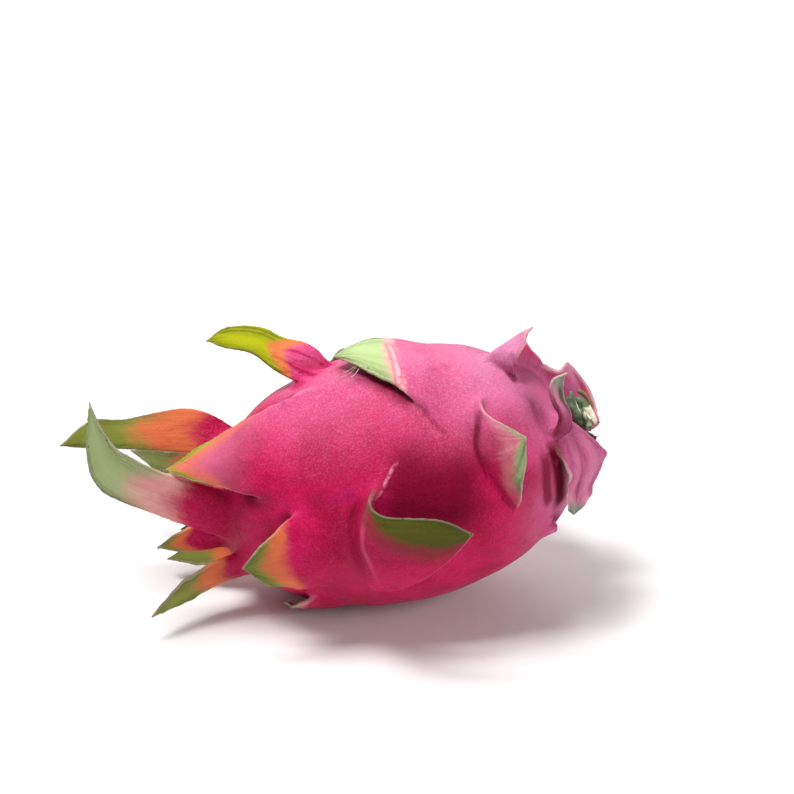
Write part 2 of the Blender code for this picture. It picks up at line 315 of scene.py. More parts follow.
def crown_leaf(
    root: float,
    turn: float,
    reach: float,
    half_width: float,
    lean: float,
    curl: float,
    drift: float,
) -> tuple:
    """Rails of a long leaf that grows from the crown end and bends outwards.

    Args:
        root: Where it leaves the body, along the axis.
        turn: Degrees about the axis.
        reach: Length.
        half_width: Half its width at the root.
        lean: First angle off the axis, in degrees.
        curl: Bend along its length, in degrees.
        drift: How far it turns about the axis, in degrees.

    Returns:
        The near, middle and far rails.
    """
    outline = ((0.0, 1.0), (0.25, 0.95), (0.5, 0.8), (0.75, 0.5), (1.0, 0.0))
    leaf_cup, sink = 1.5, 2.0

    def rail(side: int) -> tuple:
        """One rail of the leaf."""
        along, radius, angle = root, FRUIT.radius_at(root) - sink, math.radians(lean)
        points = []
        for step, narrow in outline:
            spread = math.degrees(half_width * narrow * side / max(radius, half_width))
            cup = abs(side) * step * narrow * leaf_cup
            points.append(at(along, radius + cup, turn + drift * step + spread))
            along -= reach / 4 * math.cos(angle)
            radius += reach / 4 * math.sin(angle)
            angle += math.radians(curl) / 4
        return tuple(points)

    return rail(-1), rail(0), rail(1)


def seen_blades() -> list:
    """Scales that stand on the front, the top and both ends.

    Returns:
        The blades, each with its rails and its tint.
    """
    low_tip = on(21, 1, 8)
    high_tip = on(40.5, 34, 11)
    top_tip = on(-10.5, 96, 4)
    left_tip = on(-55.5, 61, 21)
    long_tip = at(-51, 61, 98)
    curved_tip = at(-108, 36.5, 96)
    upright_tip = at(-87, 67, 71)
    shoulder_tip = on(46.5, 94, 16)
    collar_tip = on(51.5, 63, 17)
    hood_tip = at(64.5, 25, 118)
    flap_tip = on(51, -27, 6)
    return [
        Blade(
            "front_low",
            (
                (on(2.5, 36, -1.5), on(-2.5, 29, 1), on(-6.5, 22, 4),
                 on(-2.5, 16, 7), on(12.5, 11, 9), low_tip),
                (on(-19, 4, -2), on(-14.5, 4, 1), on(-10.5, 4, 5),
                 on(-2, 2, 8), on(9, 2, 9), low_tip),
                (on(-15, -30, -2), on(-12, -23, 2), on(-6, -19, 5),
                 on(2.5, -14, 7), on(12.5, -7, 8), low_tip),
            ),
            Tint(
                LeafGreen.OLIVE, LeafWarmth.BROWN, green_from=0.66, green_to=0.86, edge_lead=0.0,
                far_lead=-0.34, warm=0.65, warm_reach=1.3, rim=0.2, inner_red=0.2,
            ),
            wave=0.15,
        ),
        Blade(
            "front_high",
            (
                (on(38, 66, -1.5), on(33, 57, 3), on(33, 47, 6), on(37, 40, 9), high_tip),
                (on(29, 37, -2.5), on(30, 36, 0), on(33, 33, 3.5), on(36.5, 32, 8), high_tip),
                (on(37, -11, -2.5), on(37.5, 2, 3.5), on(38, 13, 7), on(39.5, 23, 9.5), high_tip),
            ),
            Tint(
                LeafGreen.SAGE, LeafWarmth.CREAM, green_from=0.76, green_to=1.08, edge_lead=0.42,
                far_lead=0.16, warm=0.36, warm_reach=0.9, rim=0.45, dry_tip=0.1, inner_red=0.2,
            ),
            wave=0.3,
        ),
        Blade(
            "top",
            (
                (on(19, 48, -1.5), on(14, 57, 1.6), on(9, 66.5, 2.4),
                 on(1.5, 76, 3.2), on(-5, 86.5, 3.4), top_tip),
                (on(24, 78, -2), on(17, 82, 1), on(10, 86, 3),
                 on(3, 90, 4), on(-4, 94, 4.5), top_tip),
                (on(22, 114, -1.5), on(15, 113, 0.5), on(8, 110, 2.5),
                 on(2, 107, 4), on(-5, 101, 4.5), top_tip),
            ),
            Tint(
                LeafGreen.PALE, LeafWarmth.CREAM, green_from=0.44, green_to=0.6, edge_lead=0.06,
                far_lead=-0.02, warm=0.6, warm_reach=0.5, rim=0.3, dry_tip=0.1, inner_red=0.3,
            ),
            wave=0.2,
        ),
        Blade(
            "left",
            (
                (on(-15, 90, -1.5), on(-22.5, 83, 1), on(-29.5, 79, 3),
                 on(-41, 75, 7), on(-50, 69, 13), left_tip),
                (on(-27, 53, -2), on(-34.5, 55, 1), on(-41, 57, 4),
                 on(-45.5, 56, 9), on(-50.5, 57, 15), left_tip),
                (on(-34, 29, -2), on(-40.5, 33, 1), on(-46, 38, 3),
                 on(-49, 44, 9), on(-52, 50, 16), left_tip),
            ),
            Tint(
                LeafGreen.LIME, LeafWarmth.ORANGE, green_from=0.88, green_to=1.05, edge_lead=0.3,
                warm=0.65, warm_reach=1.4, rim=0.3, dry_tip=0.2, inner_red=0.6, pale_tone_and_painted_light=0.3,
            ),
        ),
        Blade(
            "long",
            (
                (on(-21, 93, -2), at(-27, 42.5, 96), at(-31.5, 46.5, 97),
                 at(-37, 53, 98), at(-45, 57, 98), long_tip),
                (on(-16, 101, -2), at(-22.5, 46.5, 101), at(-29, 50.5, 101),
                 at(-35, 56, 101), at(-44, 60, 100), long_tip),
                (on(-11.5, 108, -2), at(-19, 50, 107), at(-26.5, 54, 107),
                 at(-33.5, 60, 105), at(-43.5, 63, 102), long_tip),
            ),
            Tint(
                LeafGreen.LIME, LeafWarmth.ORANGE, green_from=0.42, green_to=0.6, edge_lead=0.22,
                far_lead=-0.03, warm=1.0, warm_reach=0.9, rim=0.1, dry_tip=0.5, inner_red=0.3,
            ),
            wave=0.2,
        ),
        Blade(
            "curved",
            (
                (on(-50, 124, -2), at(-63, 37, 112), at(-85, 39, 106),
                 at(-96, 42, 101), curved_tip),
                (on(-52, 106, -2), at(-65, 30, 108), at(-86, 34.5, 103),
                 at(-97.5, 38, 99), curved_tip),
                (on(-54, 84, -2), at(-66, 23, 102), at(-87, 29.5, 100),
                 at(-99.5, 33.5, 97), curved_tip),
            ),
            Tint(
                LeafGreen.MOSS, LeafWarmth.ORANGE, green_from=0.34, green_to=0.62, edge_lead=0.14,
                warm=0.8, warm_reach=0.8, rim=0.2, dry_tip=0.5, inner_red=0.3,
            ),
        ),
        Blade(
            "upright",
            (
                (on(-58, -8, -2), at(-80.5, 24.5, 43), at(-93, 38, 55),
                 at(-93, 51.5, 62), upright_tip),
                (on(-57, 22, -2), at(-76.5, 31.5, 51), at(-87.5, 45, 58),
                 at(-88.5, 56.5, 64), upright_tip),
                (on(-56, 50, -2), at(-71.5, 36.5, 57), at(-81, 49, 61),
                 at(-84.5, 57, 64), upright_tip),
            ),
            Tint(
                LeafGreen.SAGE, LeafWarmth.CREAM, green_from=0.26, green_to=0.52, edge_lead=0.12,
                warm=0.6, warm_reach=0.7, rim=0.3, inner_red=0.3,
            ),
        ),
        Blade(
            "shoulder",
            (
                (on(48, 80, -2), on(44, 79, 7), on(45.5, 86, 10.5), on(45.5, 90, 13), shoulder_tip),
                (on(38, 96, -2), on(41.5, 95, 4), on(43.5, 95, 8.5),
                 on(45, 94, 12.5), shoulder_tip),
                (on(54, 118, -2), on(53, 114, 4.5), on(49, 106, 7),
                 on(46.5, 98.5, 11), shoulder_tip),
            ),
            Tint(
                LeafGreen.MIST, LeafWarmth.CREAM, green_from=0.84, green_to=1.0, edge_lead=0.05,
                warm=0.3, warm_reach=1.0, rim=0.7, inner_red=0.3,
            ),
            wave=0.25,
        ),
        Blade(
            "collar",
            (
                (on(53, 26, -2), on(51, 41, 9), on(49, 50, 11),
                 on(48.5, 56, 12), on(49, 61, 14), collar_tip),
                (on(55, 26, -2), on(53, 41, 9), on(51, 51, 11),
                 on(50.3, 57, 12.5), on(50.3, 61.5, 14.5), collar_tip),
                (on(57, 26, -2), on(55, 42, 6.5), on(53, 53, 9.5),
                 on(52, 58, 12), on(51.7, 62, 14.5), collar_tip),
            ),
            Tint(
                LeafGreen.DUSK, LeafWarmth.CREAM, green_from=0.2, green_to=0.8, edge_lead=0.1,
                far_lead=0.1, warm=0.1, rim=0.8, dry_tip=0.15, inner_red=0.1, pale_tone_and_painted_light=0.2,
            ),
            wave=0.1,
        ),
        Blade(
            "hood",
            (
                (on(53, 112, -2), at(56, 25.6, 113), at(58, 24, 115),
                 at(60.5, 22.4, 116), at(62.5, 23, 117), hood_tip),
                (on(56, 165, -2), at(62, 16, 165), at(65, 18, 152),
                 at(66, 20.5, 140), at(65.5, 22.5, 128), hood_tip),
                (on(60, -140, -2), at(70, 6.5, -168), at(71, 11, 175),
                 at(70.5, 16, 152), at(67.5, 21, 133), hood_tip),
            ),
            # The hood's inside is brightened with painted light.
            Tint(
                LeafGreen.MIST, LeafWarmth.CREAM, green_from=0.97, green_to=1.1, edge_lead=0.0,
                warm=0.0, rim=0.55, dry_tip=0.2, inner_red=0.35, pale_tone_and_painted_light=0.6,
            ),
            wave=0.2,
            fold=0.35,
        ),
        Blade(
            "flap",
            (
                (on(52, 46, -5), on(53, 30, 0.5), on(53, 14, 3.5), on(53, 3, 4.5),
                 on(52, -8, 4.5), on(50, -18, 5), flap_tip),
                (on(53, 55, -2), on(56, 38, 5), on(57.5, 20, 6), on(57, 1, 6.5),
                 on(55, -10, 6.5), on(53, -19, 7), flap_tip),
                (on(57, 55, -2), on(58.5, 30, 4.5), on(61, 10, 8.5), on(61, -5, 10),
                 on(57, -18, 7.5), on(56, -24, 8.5), flap_tip),
            ),
            Tint(
                LeafGreen.MIST, LeafWarmth.CREAM, green_from=0.8, green_to=0.94, edge_lead=0.06,
                far_lead=-0.06, warm=0.3, rim=0.7, dry_tip=0.12, inner_red=0.2, pale_tone_and_painted_light=0.2,
            ),
            wave=0.6,
            fold=0.75,
        ),
    ]


def hidden_blades() -> list:
    """Scales on the back, the underside and the far side of the crown.

    Returns:
        The blades, each with its rails and its tint.
    """
    pink = Tint(
        LeafGreen.SAGE, LeafWarmth.CREAM, green_from=0.8, green_to=1.08, edge_lead=0.3,
        warm_reach=0.7, dry_tip=0.2,
    )
    fresh = Tint(
        LeafGreen.MOSS, LeafWarmth.ORANGE, green_from=0.68, green_to=0.95, edge_lead=0.25,
        warm=0.7, warm_reach=0.8, rim=0.3,
    )
    leafy = Tint(
        LeafGreen.MOSS, LeafWarmth.ORANGE, green_from=0.36, green_to=0.66, edge_lead=0.14,
        warm=0.8, warm_reach=0.8, rim=0.25, dry_tip=0.5,
    )
    plain = Tint(
        LeafGreen.SAGE, LeafWarmth.CREAM, green_from=1.2, green_to=1.4, edge_lead=0.0, warm=0.0,
        warm_reach=0.5, rim=0.0, dry_tip=0.0, inner_red=0.0,
    )
    return [
        Blade("front_left", tongue(-20, 0, 27, 17, 11, -1), fresh),
        Blade("back_high", tongue(12, 150, 27, 16, 9, -1), pink),
        Blade("back_middle", tongue(24, -176, 22, 15, 9, 1), pink),
        Blade("back_low", tongue(-10, -162, 25, 15, 8, -1), fresh),
        Blade("back_stem", tongue(36, -132, 17, 12, 7, 1), pink),
        Blade("back_left", tongue(-30, 165, 24, 14, 12, -1), fresh),
        Blade("under_front", tongue(-24, -52, 20, 13, 4, -1), pink),
        Blade("under_stem", tongue(43, -43, 5.5, 5, 1.5, 1), plain, wave=0.0),
        Blade("stem_low", tongue(47, -100, 13, 10, 5, 1), pink),
        Blade("crown_front", crown_leaf(-54, -38, 38, 8.5, 8, 42, 14), leafy),
        Blade("crown_low", crown_leaf(-54, -100, 32, 8.0, -14, 30, -12), leafy),
        Blade("crown_back", crown_leaf(-54, -155, 42, 8.5, 4, 50, -14), leafy),
        Blade("crown_high", crown_leaf(-54, 162, 48, 9.0, 14, 46, 8), leafy),
        Blade("crown_inner_1", crown_leaf(-59, 0, 24, 5.5, 2, 34, 10), fresh),
        Blade("crown_inner_2", crown_leaf(-59, -130, 20, 5.0, -6, 26, -10), fresh),
        Blade("crown_inner_3", crown_leaf(-59, 130, 26, 5.5, 4, 30, 6), fresh),
    ]


def deselect() -> None:
    """Clear the selection, so that the next operator acts on its own piece."""
    bpy.ops.object.select_all(action="DESELECT")


def pick(piece: bpy.types.Object) -> None:
    """Select one piece alone and make it active."""
    deselect()
    piece.select_set(True)
    bpy.context.view_layer.objects.active = piece


def read_points(piece: bpy.types.Object) -> np.ndarray:
    """Vertex coordinates of a piece, one row each."""
    flat = np.empty(len(piece.data.vertices) * 3, dtype=np.float32)
    piece.data.vertices.foreach_get("co", flat)
    return flat.reshape(-1, 3).astype(float)


def write_points(piece: bpy.types.Object, points: np.ndarray) -> None:
    """Move a piece's vertices to new coordinates."""
    piece.data.vertices.foreach_set("co", points.astype(np.float32).ravel())
    piece.data.update()


def read_normals(piece: bpy.types.Object) -> np.ndarray:
    """Vertex normals of a piece, one row each."""
    flat = np.empty(len(piece.data.vertices) * 3, dtype=np.float32)
    piece.data.vertex_normals.foreach_get("vector", flat)
    return flat.reshape(-1, 3).astype(float)


def to_world(points: np.ndarray) -> np.ndarray:
    """Take points from the fruit's frame in millimetres to the world in metres."""
    matrix = np.array(FRUIT.resting_matrix())
    return points * MM @ matrix[:3, :3].T + matrix[:3, 3]


def to_fruit(points: np.ndarray) -> np.ndarray:
    """Take points from the world in metres to the fruit's frame in millimetres."""
    matrix = np.array(FRUIT.resting_matrix())
    return (points - matrix[:3, 3]) @ matrix[:3, :3] / MM


def read_surface(piece: bpy.types.Object) -> tuple:
    """Points and normals of a piece in the fruit's frame, one row each."""
    turn = np.array(FRUIT.resting_matrix())[:3, :3]
    return to_fruit(read_points(piece)), read_normals(piece) @ turn


def add_ball(segments: int, rings: int) -> tuple:
    """Add a ball of radius 1, and give the piece and its points."""
    deselect()
    bpy.ops.mesh.primitive_uv_sphere_add(segments=segments, ring_count=rings, radius=1.0)
    piece = bpy.context.active_object
    return piece, read_points(piece)


def dress(piece: bpy.types.Object, material: bpy.types.Material) -> None:
    """Give a piece its material and smooth shading."""
    piece.data.materials.clear()
    piece.data.materials.append(material)
    piece.data.shade_smooth()


def apply_modifier(piece: bpy.types.Object, kind: str, **settings: object) -> None:
    """Add a modifier to a piece, set it and apply it.

    Args:
        piece: The piece to change.
        kind: Blender's name for the type of modifier.
        **settings: Properties of the modifier.
    """
    pick(piece)
    bpy.ops.object.modifier_add(type=kind)
    modifier = piece.modifiers[-1]
    for key, value in settings.items():
        setattr(modifier, key, value)
    bpy.ops.object.modifier_apply(modifier=modifier.name)


def relax(points: np.ndarray, edges: np.ndarray, weights: np.ndarray, rounds: int) -> np.ndarray:
    """Draw points towards the mean of their neighbours.

    Args:
        points: Coordinates, one row each.
        edges: Pairs of joined points.
        weights: Strength at each point, from 0 to 1.
        rounds: How many times it is done.

    Returns:
        The moved coordinates.
    """
    ends = np.concatenate([edges[:, 0], edges[:, 1]])
    others = np.concatenate([edges[:, 1], edges[:, 0]])
    count = np.maximum(np.bincount(ends, minlength=len(points)), 1)
    strength = (0.5 * weights)[:, None]
    for _ in range(rounds):
        sums = [
            np.bincount(ends, weights=points[others, axis], minlength=len(points))
            for axis in range(3)
        ]
        mean = np.stack(sums, axis=1)
        points = points + (mean / count[:, None] - points) * strength
    return points


def read_edges(piece: bpy.types.Object) -> np.ndarray:
    """Pairs of joined vertices of a piece."""
    flat = np.empty(len(piece.data.edges) * 2, dtype=np.int32)
    piece.data.edges.foreach_get("vertices", flat)
    return flat.reshape(-1, 2)


def add_attribute(piece: bpy.types.Object, name: str, values: np.ndarray) -> None:
    """Store a number for each vertex, for the materials to read."""
    layer = piece.data.attributes.new(name, "FLOAT", "POINT")
    layer.data.foreach_set("value", np.asarray(values, dtype=np.float32))


def add_tone(piece: bpy.types.Object, name: str, tones: np.ndarray) -> None:
    """Store a colour for each vertex, for the materials to read."""
    layer = piece.data.attributes.new(name, "FLOAT_COLOR", "POINT")
    opaque = np.hstack([tones, np.ones((len(tones), 1))])
    layer.data.foreach_set("color", opaque.astype(np.float32).ravel())


def fine_noise(points: np.ndarray, size: float, seed: float) -> np.ndarray:
    """Smooth noise between about -1 and 1 at each point.

    Args:
        points: Coordinates in millimetres.
        size: Size of the noise's lumps in millimetres.
        seed: Shift that tells one noise from another.

    Returns:
        One value for each point.
    """
    shift = Vector((seed, -seed, 2 * seed))
    return np.array([noise.noise(Vector(point) / size + shift) for point in points])


class NodeBoard:
    """Short ways to lay out a material's nodes."""

    COLOUR_A, COLOUR_B, COLOUR_OUT = 6, 7, 2

    def __init__(self, name: str) -> None:
        """Start a material with an empty Principled shader."""
        self.material = bpy.data.materials.new(name)
        self.material.use_nodes = True
        self.tree = self.material.node_tree
        self.shader = self.tree.nodes["Principled BSDF"]
        self.place = self.tree.nodes.new("ShaderNodeTexCoord").outputs["Object"]

    def link(self, source: object, target: object) -> None:
        """Join an output to an input, or set the input to a constant."""
        if isinstance(source, bpy.types.NodeSocket):
            self.tree.links.new(source, target)
        elif isinstance(source, tuple) and len(source) == 3 and target.type == "RGBA":
            target.default_value = (*source, 1.0)
        else:
            target.default_value = source

    def attribute(self, name: str) -> bpy.types.NodeSocket:
        """Number stored on the mesh under a name."""
        node = self.tree.nodes.new("ShaderNodeAttribute")
        node.attribute_name = name
        return node.outputs["Fac"]

    def tone(self, name: str) -> bpy.types.NodeSocket:
        """Colour stored on the mesh under a name."""
        node = self.tree.nodes.new("ShaderNodeAttribute")
        node.attribute_name = name
        return node.outputs["Color"]

    def coordinate(self, axis: str) -> bpy.types.NodeSocket:
        """One of the object coordinates, in metres."""
        node = self.tree.nodes.new("ShaderNodeSeparateXYZ")
        self.link(self.place, node.inputs["Vector"])
        return node.outputs[axis]

    def mapped(self, scale: tuple, turn: tuple = (0.0, 0.0, 0.0)) -> bpy.types.NodeSocket:
        """Object coordinates, turned and stretched."""
        node = self.tree.nodes.new("ShaderNodeMapping")
        node.inputs["Scale"].default_value = scale
        node.inputs["Rotation"].default_value = turn
        self.link(self.place, node.inputs["Vector"])
        return node.outputs["Vector"]

    def noise(
        self, scale: float, detail: float = 2.0, vector: object = None, rough: float = 0.5
    ) -> bpy.types.NodeSocket:
        """Noise texture on object coordinates, or on a vector that is given."""
        node = self.tree.nodes.new("ShaderNodeTexNoise")
        node.inputs["Scale"].default_value = scale
        node.inputs["Detail"].default_value = detail
        node.inputs["Roughness"].default_value = rough
        self.link(vector or self.place, node.inputs["Vector"])
        return node.outputs["Fac"]

    def cells(self, scale: float, vector: object = None) -> bpy.types.NodeSocket:
        """Distance to the nearest of scattered points."""
        node = self.tree.nodes.new("ShaderNodeTexVoronoi")
        node.inputs["Scale"].default_value = scale
        self.link(vector or self.place, node.inputs["Vector"])
        return node.outputs["Distance"]

    def spread(self, value: object, low: float, high: float) -> bpy.types.NodeSocket:
        """Ease a value from 0 at low to 1 at high."""
        node = self.tree.nodes.new("ShaderNodeMapRange")
        node.interpolation_type = "SMOOTHSTEP"
        node.inputs["From Min"].default_value = low
        node.inputs["From Max"].default_value = high
        self.link(value, node.inputs["Value"])
        return node.outputs["Result"]

    def plus(self, first: object, second: object) -> bpy.types.NodeSocket:
        """Sum of two values."""
        return self.math("ADD", first, second)

    def times(self, first: object, second: object) -> bpy.types.NodeSocket:
        """Product of two values."""
        return self.math("MULTIPLY", first, second)

    def math(self, operation: str, first: object, second: object) -> bpy.types.NodeSocket:
        """Result of an operation on two values."""
        node = self.tree.nodes.new("ShaderNodeMath")
        node.operation = operation
        self.link(first, node.inputs[0])
        self.link(second, node.inputs[1])
        return node.outputs["Value"]

    def mix(self, share: object, first: object, second: object) -> bpy.types.NodeSocket:
        """Colour between two colours."""
        node = self.tree.nodes.new("ShaderNodeMix")
        node.data_type = "RGBA"
        self.link(share, node.inputs["Factor"])
        self.link(first, node.inputs[self.COLOUR_A])
        self.link(second, node.inputs[self.COLOUR_B])
        return node.outputs[self.COLOUR_OUT]

    def vector(self, first: object, second: object, third: object) -> bpy.types.NodeSocket:
        """Vector of three values."""
        node = self.tree.nodes.new("ShaderNodeCombineXYZ")
        for source, target in zip((first, second, third), node.inputs):
            self.link(source, target)
        return node.outputs["Vector"]

    def bump(
        self, height: object, strength: float, distance: float, below: object = None
    ) -> bpy.types.NodeSocket:
        """Relief from a height, laid over another relief."""
        node = self.tree.nodes.new("ShaderNodeBump")
        node.inputs["Strength"].default_value = strength
        node.inputs["Distance"].default_value = distance
        self.link(height, node.inputs["Height"])
        if below is not None:
            self.link(below, node.inputs["Normal"])
        return node.outputs["Normal"]

    def finish(
        self, colour: object, roughness: object, normal: object = None, **constants: float
    ) -> bpy.types.Material:
        """Join the shader and return the material."""
        self.link(colour, self.shader.inputs["Base Color"])
        self.link(roughness, self.shader.inputs["Roughness"])
        if normal is not None:
            self.link(normal, self.shader.inputs["Normal"])
        for key, value in constants.items():
            self.shader.inputs[key.replace("_", " ")].default_value = value
        return self.material


@dataclass(frozen=True)
class Mark:
    """Ridge, crease or painted shadow on the skin: where it runs, and what it does there.

    The path is pairs of distance along the axis and degrees about it. A mark
    with a rise stands off the body, on a scale or in the hollow under it, and
    one without keeps to skin that is lower than its ceiling.
    """

    path: tuple
    width: float
    relief: float = 0.0
    # Strength of the painted highlight along a ridge.
    pale: float = 0.0
    # Strength of the painted shade: in a crease, or a painted shadow beside a scale.
    dark: float = 0.0
    # Strength of the dark green painted shade in a fold.
    fold_shade: float = 0.0
    rise: float = 0.0
    ceiling: float = 10.0

    def line(self) -> np.ndarray:
        """Points close together along the mark."""
        places = tuple(on(along, turn, self.rise) for along, turn in self.path)
        return rail_points(places, np.linspace(0, 1, 80))


def skin_marks() -> tuple:
    """Ridges and creases that run from the scales over the body, with painted highlights on the ridges,
    and painted shade in the creases and beside the scales.
    """
    return (
        Mark(
            ((4.4, 36), (3, 34.2), (1.4, 32.1), (0.1, 29.9), (-1.3, 27.4), (-3.5, 24), (-6.5, 21.5)),
            width=0.8, relief=0.6, pale=0.65,
        ),
        Mark(
            ((-2, 26), (-6.4, 22), (-9, 17), (-10.8, 11), (-11.9, 5), (-11.1, -2), (-9.9, -18)),
            width=1.1, relief=0.2, pale=0.16,
        ),
        Mark(
            ((-8.5, 25), (-12.5, 18), (-14.5, 8), (-15, 0), (-13, -16)),
            width=3.0, relief=-0.8, dark=0.35,
        ),
        # Painted shadow: a broad dark band on the skin above the lower front scale.
        Mark(((-4, 30), (4, 25), (10, 20), (20, 16), (34, 11)), width=20.0, dark=0.72),
        # Painted highlight on the saddle ridge between the shoulder and the collar.
        Mark(
            ((46.8, 94), (48.7, 92.5), (50.6, 95), (53.3, 101), (55.2, 105)),
            width=1.6, pale=0.5, rise=5.0,
        ),
        # Painted shade in the pocket left of the flap.
        Mark(((49.4, 28), (49, 16), (48.4, 3), (48.2, -10), (48.4, -18)), width=3.2, dark=0.75),
        # Painted shade in the pocket under the flap.
        Mark(
            ((53, 36), (52.1, 22), (52.7, 7), (52.9, -7), (52.3, -22), (52, -30)),
            width=4.6, dark=1.0, rise=1.0,
        ),
        # Painted shade on the collar's underside.
        Mark(((48.5, 62), (48.8, 54), (49.2, 46), (50.5, 36)), width=2.6, dark=0.5, rise=3.0),
        # Dark green painted shade in the fold along the collar's near edge.
        Mark(
            ((50.3, 63.5), (50.6, 57), (51.2, 51), (52.6, 45), (54, 38)),
            width=1.9, fold_shade=0.85, rise=12.5,
        ),
        # Painted shadow under the top scale's near edge.
        Mark(
            ((17, 52), (14.3, 59), (8.9, 69), (2.9, 76), (-4.6, 86)),
            width=1.8, dark=0.7, ceiling=3.5,
        ),
        Mark(
            ((31, 52), (30.6, 47), (29, 35), (29.9, 26), (31.2, 17), (34.2, 6), (37.4, -6)),
            width=1.5, relief=-0.9, dark=0.75,
        ),
        Mark(((42.5, 84), (43.7, 81), (44.9, 77), (46.3, 73)), width=1.8, relief=-0.8, dark=0.7),
        Mark(
            ((-24.3, 99), (-20.8, 98), (-16, 100), (-11.4, 104)),
            width=1.1, relief=-0.6, dark=0.6,
        ),
        Mark(
            ((-35.4, 77), (-31, 80), (-26.7, 82), (-22.3, 83), (-14.8, 83)),
            width=2.0, relief=0.7, pale=0.3,
        ),
        Mark(((14.2, 56), (17, 51), (19.4, 46), (21, 41)), width=1.0, relief=-0.4, dark=0.4),
    )


